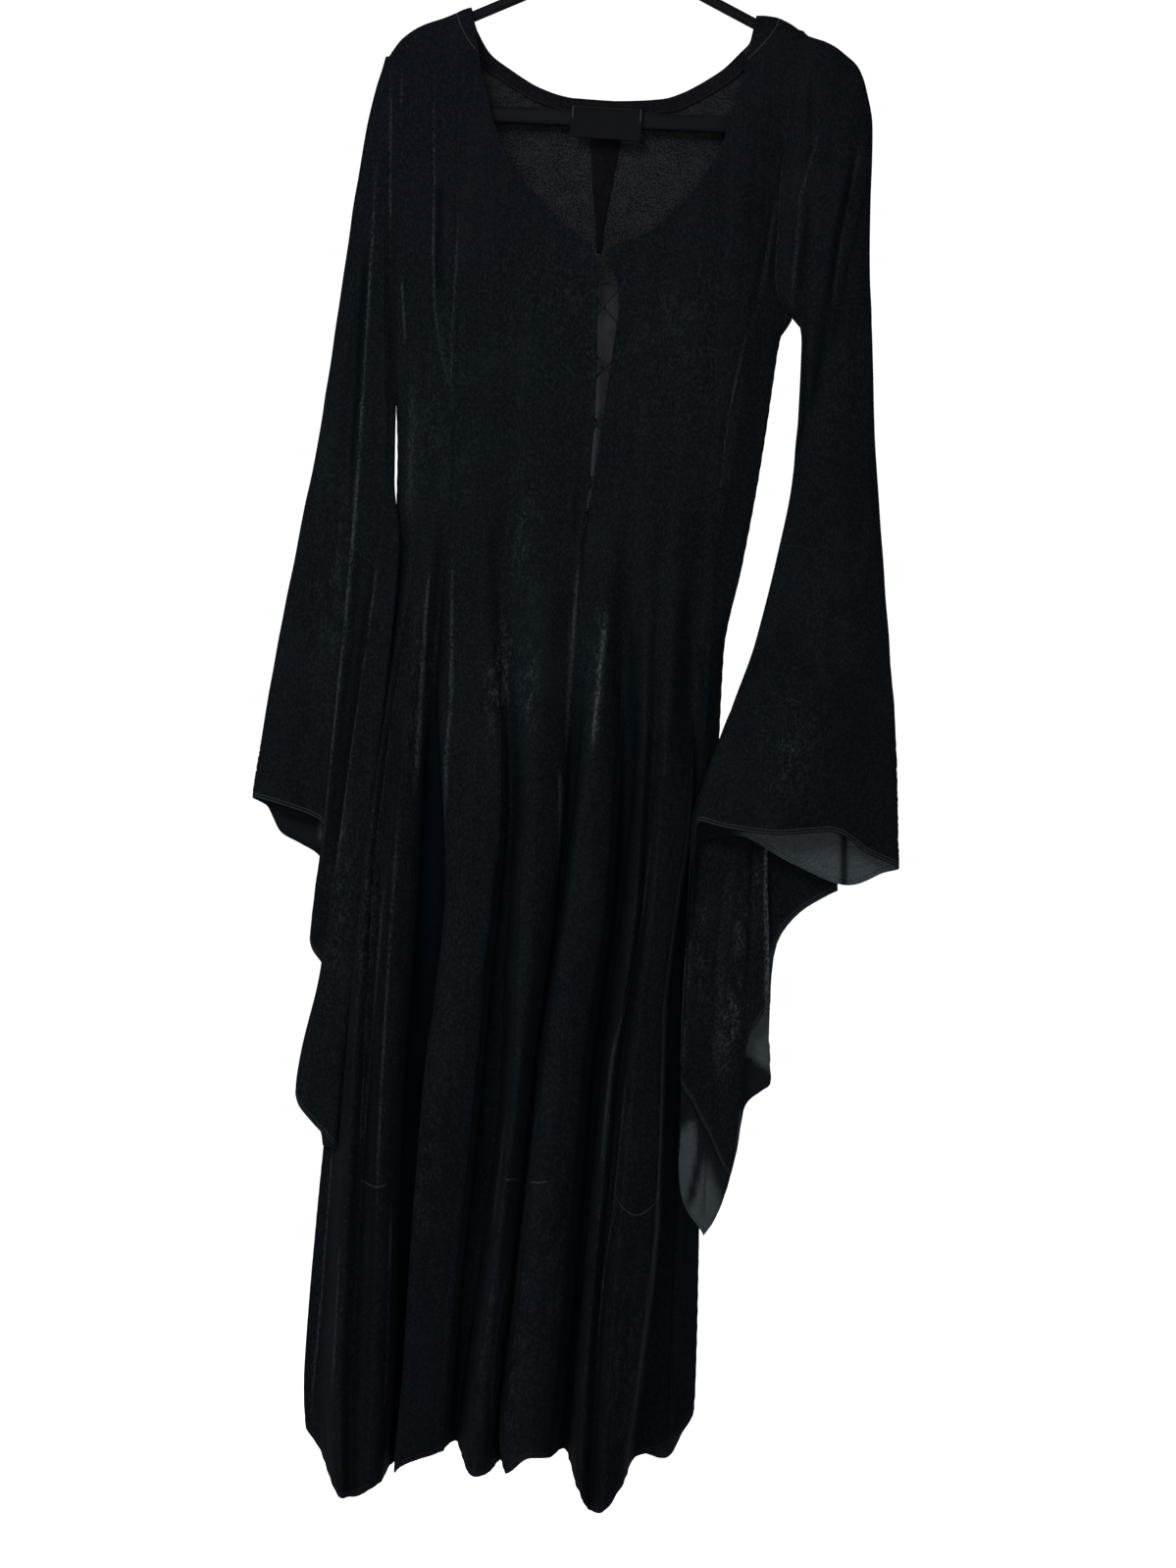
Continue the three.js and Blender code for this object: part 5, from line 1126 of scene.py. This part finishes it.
rightSleeve = {
    "folds": rightFolds, "levels": rightLevels, "bell": [-811, -904, -1057, -1247, -1320],
    "lean": [(-560, 0), (-700, -14), (-811, -38), (-904, -52), (-1320, -58)],
    "top": -133.6, "armhole": armholeTop["right"], "underarm": underarm["right"], "split": -811, "outer": 1,
    "rise": None, "columns": (6, 12), "broad": (5, 10), "fine": [12 + d / 25 for d in range(-6, 7)],
    "plain": [(2.5, 4.5), (14.9, 16.2)],
}
leftSleeve = {
    "folds": leftFolds, "levels": leftLevels, "bell": [-539, -590, -662, -852, -926, -1063, -1179, -1240],
    "lean": [(-500, 0), (-1240, 2)],
    "top": -183, "armhole": armholeTop["left"], "underarm": underarm["left"], "split": -852, "outer": -1,
    "rise": (320, 520), "columns": (8, 8), "broad": (0, 0), "fine": [], "plain": [],
}


def rightDim(x, z, place):
    # Shade on the wrong side: all but the point's foot, the turned back hem and one small edge
    lower, upper = -1122 - (x - 183) * 0.63, -1178 - np.maximum(145 - x, 0)
    under = np.where(x > 183, 1 - ease(z, lower - 4, lower + 2), ease(z, upper - 8, upper + 4))
    dark = np.where((place < 4.5) | (place > 20), under, 1 - ease(x, 153, 172))
    return np.minimum(dark + strokes(x, z, rightInside), 1)


def leftDim(x, z, _):
    # Painted shade on all of the wrong side but a small light place under the hem
    return 1 - np.exp(-(((x + 239) / 5) ** 4) - ((z + 935) / 9) ** 4)


# Painted shade creases on the right sleeve's wrong side: half width, strength, then x and z
rightInside = [
    (3.4, 1.2, (260.5, -880), (261.3, -893), (265.3, -970), (266, -990)),
    (4, 1.5, (139, -1175), (146.2, -1208), (143.5, -1234), (139.2, -1260), (135, -1280)),
    (11, 1.8, (152, -1180), (163, -1222), (170, -1241), (179, -1262), (188, -1295)),
    (2, 0.4, (152, -1190), (151, -1290)),
]
rightSleeve.update(dim=rightDim, creases=rightCreases, patches=rightPatches, lines=rightLines, seed=11)
leftSleeve.update(dim=leftDim, creases=leftCreases, patches=leftPatches, lines=leftLines, seed=12)


def sleeveCurves(sleeve):
    # Across and depth of each fold as curves of height: an arm's rounded section down to the
    # bell, then the table's own places and depths
    heights = [level[0] for level in sleeve["levels"]] + sleeve["bell"]
    lean = rowCurve(sleeve["lean"], 0, 1)
    curves = []
    for name, share, side, places, depth, hem in sleeve["folds"]:
        xs = [mix(inner, outer, share) for z, inner, outer, half in sleeve["levels"]] + list(places)
        near = sleeve["rise"] and side < 0 and 0 < share < 0.2
        ys = []
        for z, inner, outer, half in sleeve["levels"]:
            arm = float(armholeDepth(z, sleeve["armhole"], sleeve["underarm"]))
            bulge = (1 - share**2) ** 0.5 * mix(arm, half, min(1, share * 3))
            own = side * (bulge + 0.05)
            ys.append(mix(own, depth, float(ease(-z, *sleeve["rise"]))) if sleeve["rise"] and share > 0.2 else own)
        ys += [mix(own, depth, float(ease(-z, 520, 860))) if near else depth for z in sleeve["bell"]]
        curves.append((smoothCurve(heights, xs), smoothCurve(heights, ys)))
    return curves, lean


def sleevePoint(sleeve, curves, lean, place, z):
    # Smooth section through the folds, closed on itself below the underarm
    place, z = np.broadcast_arrays(place, z)
    joined = np.clip((sleeve["underarm"] + closing - z) / closing, 0, 1)
    section = []
    for part in (0, 1):
        own = np.array([curve[part](z) for curve in curves])
        before = mix(2 * own[0] - own[1], own[-2], joined)
        after = mix(2 * own[-1] - own[-2], own[1], joined)
        section.append(through(np.concatenate([before[None], own, after[None]]), place))
    return np.stack([section[0], section[1] + lean(z), z], -1)


def hemDistance(points, across, foot):
    # Distance to the hem over the cloth laid flat: across is each row's own running length
    z = points[..., 2]
    fine = np.linspace(0, len(foot) - 1, len(foot) * 5)
    hemZ = np.interp(fine, np.arange(len(foot)), foot)
    away = z - foot
    for row in np.nonzero(away.min(1) < 70)[0]:
        hemS = np.interp(fine, np.arange(len(foot)), across[row])
        gap = (across[row][:, None] - hemS) ** 2 + (z[row][:, None] - hemZ) ** 2
        away[row] = np.sqrt(gap.min(1))
    return away


def sleevePanel(sleeve):
    # A sleeve as one panel round the arm, closer at its hem and its broad folds
    curves, lean = sleeveCurves(sleeve)
    last = len(sleeve["folds"]) - 1
    steps, fine = sleeve["columns"]
    a, b = sleeve["broad"]
    places = np.concatenate([np.arange(0, last * steps + 1) / steps, np.arange(a * fine, b * fine) / fine])
    places = np.unique(np.concatenate([places, sleeve["fine"], [0.04, 0.09, last - 0.04, last - 0.09]]).round(6))
    foot = smoothCurve(range(last + 1), [fold[-1] for fold in sleeve["folds"]])(places)
    t = np.linspace(0, 1, sleeveGrid["upper"])
    upper = np.broadcast_to(mix(sleeve["top"], sleeve["split"], t**1.5)[:, None], (len(t), len(places)))
    at = sleevePoint(sleeve, curves, lean, places, foot)
    flat = np.linalg.norm(np.gradient(at[:, :2], axis=0), axis=1)
    tilt = np.sqrt(1 + np.clip(np.gradient(foot) / np.maximum(flat, 0.2), -2, 2) ** 2)
    lower = foot + edgeRows[::-1, None] * tilt
    bell = mix(sleeve["split"], lower[0], np.linspace(0, 1, sleeveGrid["bell"])[1:-1, None])
    z = np.concatenate([upper, bell, lower])
    points = sleevePoint(sleeve, curves, lean, places[None], z)
    normal = outwards(points, -sleeve["outer"])
    across, down = lengthAlong(points, 1), lengthAlong(points, 0)
    fromHem = hemDistance(points, across, foot)
    roll, fromSeam = rolled(across, down, sleeveCloth["rise"])
    calm = 1 - np.exp(-fromSeam / sleeveCloth["calm"])
    waves = ripple(across, down * 0.3, sleeve["seed"], sleeveCloth["sizes"]) * sleeveCloth["waves"] * calm
    points = stitched(points + normal * (roll + waves * ease(down, 4, 40))[..., None], normal, fromHem)
    front = np.interp(places, range(last + 1), [fold[2] for fold in sleeve["folds"]]) < 0
    both = (creased(points, normal, sleeve["creases"][side]) for side in ("front", "back"))
    points = np.where(front[None, :, None], *both)
    return points, sleeveMarks(sleeve, points, places, z, fromHem, front)


def sleeveMarks(sleeve, points, places, z, fromHem, front):
    # The painted highlight and painted shade lines by x only on the sleeve's front, no stitches where
    # the hem is plain, and the wrong side's painted shade
    lines = sleeve["lines"]
    marks = lineMarks(points, places[None], fromHem, lines)
    for kind in ("glint", "shade"):
        byPlace = strokes(np.broadcast_to(places[None], z.shape), z, lines.get(kind + "Folds", []))
        marks[kind] = np.where(front, marks[kind], byPlace)
    for a, b in sleeve["plain"]:
        marks["fromHem"] = marks["fromHem"] + 0.02 * ((places > a) & (places < b)) * ease(z, -1010, -985)
    marks["crush"] = patchMarks(points, sleeve["patches"]) * np.where(front, 1, 0.6)
    marks["dim"] = sleeve["dim"](points[..., 0], z, np.broadcast_to(places, z.shape))
    return marks


# Piece, node, front, first and last fold, right of the slit, seed of the waves
for name, node, front, first, last, rightOfSlit, seed in [
    ("frontSideLeft", "front_side_left", True, 0, princessLeft, False, 3),
    ("frontCentreLeft", "front_centre_left", True, princessLeft, centreFront, False, 4),
    ("frontCentreRight", "front_centre_right", True, centreFront, princessRight, True, 5),
    ("frontSideRight", "front_side_right", True, princessRight, frontLast, False, 6),
    ("backRight", "back_right", False, 0, centreBack, False, 7),
    ("backLeft", "back_left", False, centreBack, backLast, False, 8),
]:
    points, marks = bodyPanel(front, first, last, rightOfSlit, seed)
    makeSheet(name, node, points, [blackVelvet, wrongSide], clothWall, 1, marks)
print("body ready")
for name, node, sleeve in (("sleeveRight", "sleeve_right", rightSleeve), ("sleeveLeft", "sleeve_left", leftSleeve)):
    points, marks = sleevePanel(sleeve)
    makeSheet(name, node, points, [sleeveVelvet, sleeveInside], clothWall, sleeve["outer"], marks)
print("sleeves ready")

# Trim inside the neck: the turned band, the pressed centre-back seam and the bare label
trim = {"wall": 0.9, "cadWall": 1.2}
band = {"width": 14, "ease": 1.5, "below": 0.4, "ends": (8, -11), "groove": (0.35, 0.86, 0.8), "stitch": 0.006}
# Height, left and right edge; the ridge along its fold as height, x and half width
seamStrip = {
    "rows": [(-225.5, -20.5, 8.6), (-246, -19.6, 9.6), (-270, -17, 6.7), (-300, -13.6, 3), (-330, -9.6, -0.6),
             (-356, -7, -2.6)],
    "ridge": (0.5, -5, 1.2), "shade": (0.3, 0.6),
}
# Depth and height of the label's middle line, over the bar and down behind it
label = {
    "rows": [(10.1, -211.5), (9.4, -215), (4.4, -218.4), (-2, -219.6), (-6.2, -222.4), (-7.4, -229), (-7.4, -240),
             (-7.2, -251)],
    "left": -39.5, "right": 29.5, "wall": 0.7, "bow": 0.5, "wave": 0.25,
}


def alongPath(rows, count):
    # Even points along a smooth line through the rows, and its unit direction
    rows = np.array(rows, float)
    full = np.concatenate([[2 * rows[0] - rows[1]], rows, [2 * rows[-1] - rows[-2]]])
    t = np.linspace(0, len(rows) - 1, 60 * len(rows))
    dense = np.stack([through(np.repeat(part[:, None], len(t), 1), t) for part in full.T], 1)
    run = np.concatenate([[0], np.cumsum(np.linalg.norm(np.diff(dense, axis=0), axis=1))])
    even = np.linspace(0, run[-1], count)
    line = np.stack([np.interp(even, run, part) for part in dense.T], 1)
    way = np.gradient(line, axis=0)
    return line, way / np.linalg.norm(way, axis=1, keepdims=True)


def makeBand():
    # Turned band inside the back neck: it hangs square to the edge, with a stitched groove
    line, way = (part[slice(*band["ends"])] for part in alongPath(backNeck, 232))
    v = np.array([0, 0.04, 0.1, 0.2, 0.35, 0.5, 0.65, 0.76, 0.83, 0.88, 0.93, 1])[:, None]
    u = np.linspace(0, 1, len(line))[None]
    x = line[None, :, 0] + way[None, :, 1] * band["width"] * v
    z = line[None, :, 1] - np.abs(way[None, :, 0]) * band["width"] * v - band["below"]
    lift = seamGap + trim["cadWall"] / 2 + band["ease"] * np.abs(2 * u - 1) ** 2.5 + 0 * v
    points = insidePoint(False, x, z, lift)
    normal = outwards(points, 1)
    normal *= np.sign(-normal[..., 1:2])
    deep, place, half = band["groove"]
    groove = -deep * np.exp(-(((v - place) * band["width"] / half) ** 2))
    groove = groove + 0.2 * np.sin(lengthAlong(points, 1) / 3.1) * v
    marks = {"fromHem": (1 - v) * band["width"] * 0.001 + band["stitch"] + 0 * u}
    makeSheet("neckBand", "neck_band", points + normal * groove[..., None], [trimVelvet], trim["wall"], 1,
              marks)


def makeSeamStrip():
    # Pressed allowance of the centre-back seam, laid on the inside of the back
    rows, (ridge, middle, half) = seamStrip["rows"], seamStrip["ridge"]
    v = np.linspace(0, 1, 60)[:, None]
    u = np.linspace(0, 1, 15)[None]
    z = mix(rows[0][0], rows[-1][0], v) + 0 * u
    x = mix(rowCurve(rows, 0, 1)(z), rowCurve(rows, 0, 2)(z), u)
    points = insidePoint(False, x, z, seamGap + trim["cadWall"] / 2 + 0 * z)
    points[..., 1] += ridge * np.exp(-(((x - middle) / half) ** 2)) - 0.15 * np.sin(v * 40 + 3 * u)
    # Painted shade on the strip, darker towards higher x
    marks = {"shade": mix(*seamStrip["shade"], ease(x, -9, 0))}
    makeSheet("backSeamStrip", "back_seam_strip", points, [trimVelvet], trim["wall"], -1,
              marks)


def makeLabel():
    # A strip bowed a little across, with slight waves towards its foot
    line = alongPath(label["rows"], 60)[0]
    u = np.linspace(0, 1, 70)[None]
    v = np.linspace(0, 1, 60)[:, None]
    x = mix(label["left"], label["right"], u) + 0 * v
    y = line[:, :1] + (label["bow"] * np.sin(math.pi * u) - label["wave"] * np.sin(u * 17 + v * 4)) * v
    points = np.stack([x, y, line[:, 1:] + 0 * u], -1)
    makeSheet("neckLabel", "neck_label", points, [labelSatin], label["wall"], -1)


# Lace: a cord that crosses the slit in pairs, and the tapes behind the slit's edges
lace = {"diameter": 2.5, "top": -389, "pitch": 54, "rungs": 4, "hold": 9}
tape = {"top": -380, "foot": -630, "inset": 2, "width": 12, "gap": 0.7}


def slitEdge(side, z):
    # The slit's left (-1) or right (1) edge at a height
    return bodyPoint(True, centreFront, z, side > 0)


def makeTape(side, name, node):
    # Plain tape that follows the slit's edge inside the front
    v = np.linspace(0, 1, 90)[:, None]
    u = np.linspace(0, 1, 9)[None]
    z = mix(tape["top"], tape["foot"], v) + 0 * u
    x = slitEdge(side, z)[..., 0] + side * (tape["inset"] + tape["width"] * u)
    points = insidePoint(True, x, z, seamGap + tape["gap"] + trim["cadWall"] / 2 + 0 * z)
    points[..., 1] += 0.15 * np.sin(v * 60)
    makeSheet(name, node, points, [trimVelvet], trim["wall"], -side)


def makeTube(path, wide, tall, power, sides):
    # A rounded section carried along a path in the plane of the gown: wide is front to back,
    # tall is across the path, and power below 1 squares the section
    path = np.array(path, float)
    way = np.gradient(path, axis=0)
    way /= np.linalg.norm(way, axis=1, keepdims=True)
    depth = np.array([0.0, 1, 0]) - way * way[:, 1:2]
    depth /= np.linalg.norm(depth, axis=1, keepdims=True)
    angle = np.linspace(0, 2 * math.pi, sides, endpoint=False)
    a, b = (np.broadcast_to(size, len(path))[:, None] / 2 * np.sign(wave) * np.abs(wave) ** power
            for size, wave in ((wide, np.cos(angle)), (tall, np.sin(angle))))
    points = path[:, None] + depth[:, None] * a[..., None] + np.cross(way, depth)[:, None] * b[..., None]
    start = np.arange((len(path) - 1) * sides)
    turn = start + 1 - sides * ((start + 1) % sides == 0)
    faces = np.stack([start, turn, turn + sides, start + sides], 1).tolist()
    faces += [list(range(sides))[::-1], list(range(len(start), len(start) + sides))]
    return points.reshape(-1, 3), faces


def makeSolid(name, node, parts, finish, turned=0.0):
    # Closed tubes as one mesh, turned a little about the hook
    faces, count = [], 0
    for points, own in parts:
        faces += [[index + count for index in face] for face in own]
        count += len(points)
    x, y, z = np.concatenate([points for points, own in parts]).T * 0.001
    c, s = math.cos(turned), math.sin(turned)
    points = np.stack([x * c - z * s, y, x * s + z * c], 1)
    makePiece(name, node, points, faces, [len(face) == 4 for face in faces], [finish])


def makeLace():
    # A route of stops by side, rung, depth and how far it is held back from the slit's edge
    near = cadWall / 2 + seamGap * 3 + tape["gap"] + trim["cadWall"] + lace["diameter"] / 2
    far = near + lace["diameter"] + seamGap
    stops = [(-1, 0.16, near, 4), (1, -0.02, near, 0)]
    stops += [(-1 if i % 2 else 1, i, near, 0) for i in range(1, lace["rungs"] + 1)]
    stops += [(1 if i % 2 else -1, i + 0.06, far, 0) for i in range(lace["rungs"], 0, -1)]
    stops += [(-1, 0.12, far, 0), (1, 0.1, far, 4)]
    route = []
    for side, rung, run, end in stops:
        z = lace["top"] - rung * lace["pitch"]
        x, y, _ = slitEdge(side, np.array([z]))[0]
        route.append((x + side * (lace["hold"] - end), y + run, z))
    tube = makeTube(alongPath(route, 520)[0], lace["diameter"], lace["diameter"], 1, 14)
    makeSolid("frontLace", "front_lace", [tube], laceCord)


makeBand()
makeSeamStrip()
makeLabel()
makeTape(-1, "laceTapeLeft", "lace_tape_left")
makeTape(1, "laceTapeRight", "lace_tape_right")
makeLace()
print("trim and lace ready")

# Hanger: two sloping arms that turn down into a level bar, and a wire hook
hanger = {"tilt": math.radians(0.9), "apex": -63.5, "slope": 0.48, "armTall": 10, "thick": 8, "reach": 196,
          "bar": -230.5, "barTall": 16, "wire": 4, "hook": 20}


def makeHanger():
    # Arms, bar and collar are one piece of plastic; the wire of the hook is another piece
    apex, slope, reach, bar = (hanger[key] for key in ("apex", "slope", "reach", "bar"))
    middle = apex - hanger["armTall"] / 2
    tip = middle - slope * reach
    parts = []
    for side in (-1, 1):
        rows = [(-1.5, middle + 0.5), (14, middle - 4), (70, middle - slope * 70), (140, middle - slope * 140),
                (reach - 8, tip + 4), (reach + 3, tip - 9), (reach + 2, tip - 32), (reach - 6, bar + 8),
                (reach - 20, bar)]
        path = alongPath([(side * x, 0, z) for x, z in rows], 150)[0]
        parts.append(makeTube(path, hanger["thick"], hanger["armTall"], 0.7, 28))
    x = np.linspace(-(reach - 16), reach - 16, 80)
    tall = hanger["barTall"] - 0.6 * np.abs(x / reach) ** 8
    parts.append(makeTube(np.stack([x, 0 * x, 0 * x + bar], 1), hanger["thick"], tall, 0.6, 32))
    z = np.linspace(apex - 13, apex + 7, 24)
    collar = np.interp(z, [apex - 13, apex - 11.5, apex + 4, apex + 6.4, apex + 7], [13, 14, 10.4, 9.6, 8])
    parts.append(makeTube(np.stack([0 * z, 0 * z, z], 1), collar, collar, 1, 32))
    makeSolid("hangerFrame", "hanger", parts, hangerPlastic, hanger["tilt"])
    radius, centre = hanger["hook"], hanger["wire"] / 2 - hanger["hook"]
    angle = np.radians(np.linspace(-52, 196, 24))
    rows = [(0, 0, apex + 7.3), (0, 0, centre - radius - 14), (0, 0, centre - radius - 6)]
    rows += list(zip(radius * np.cos(angle), 0 * angle, centre + radius * np.sin(angle)))
    wire = makeTube(alongPath(rows, 170)[0], hanger["wire"], hanger["wire"], 1, 20)
    makeSolid("hangerHook", "hanger_hook", [wire], hookSteel, hanger["tilt"])


makeHanger()
print("hanger ready")
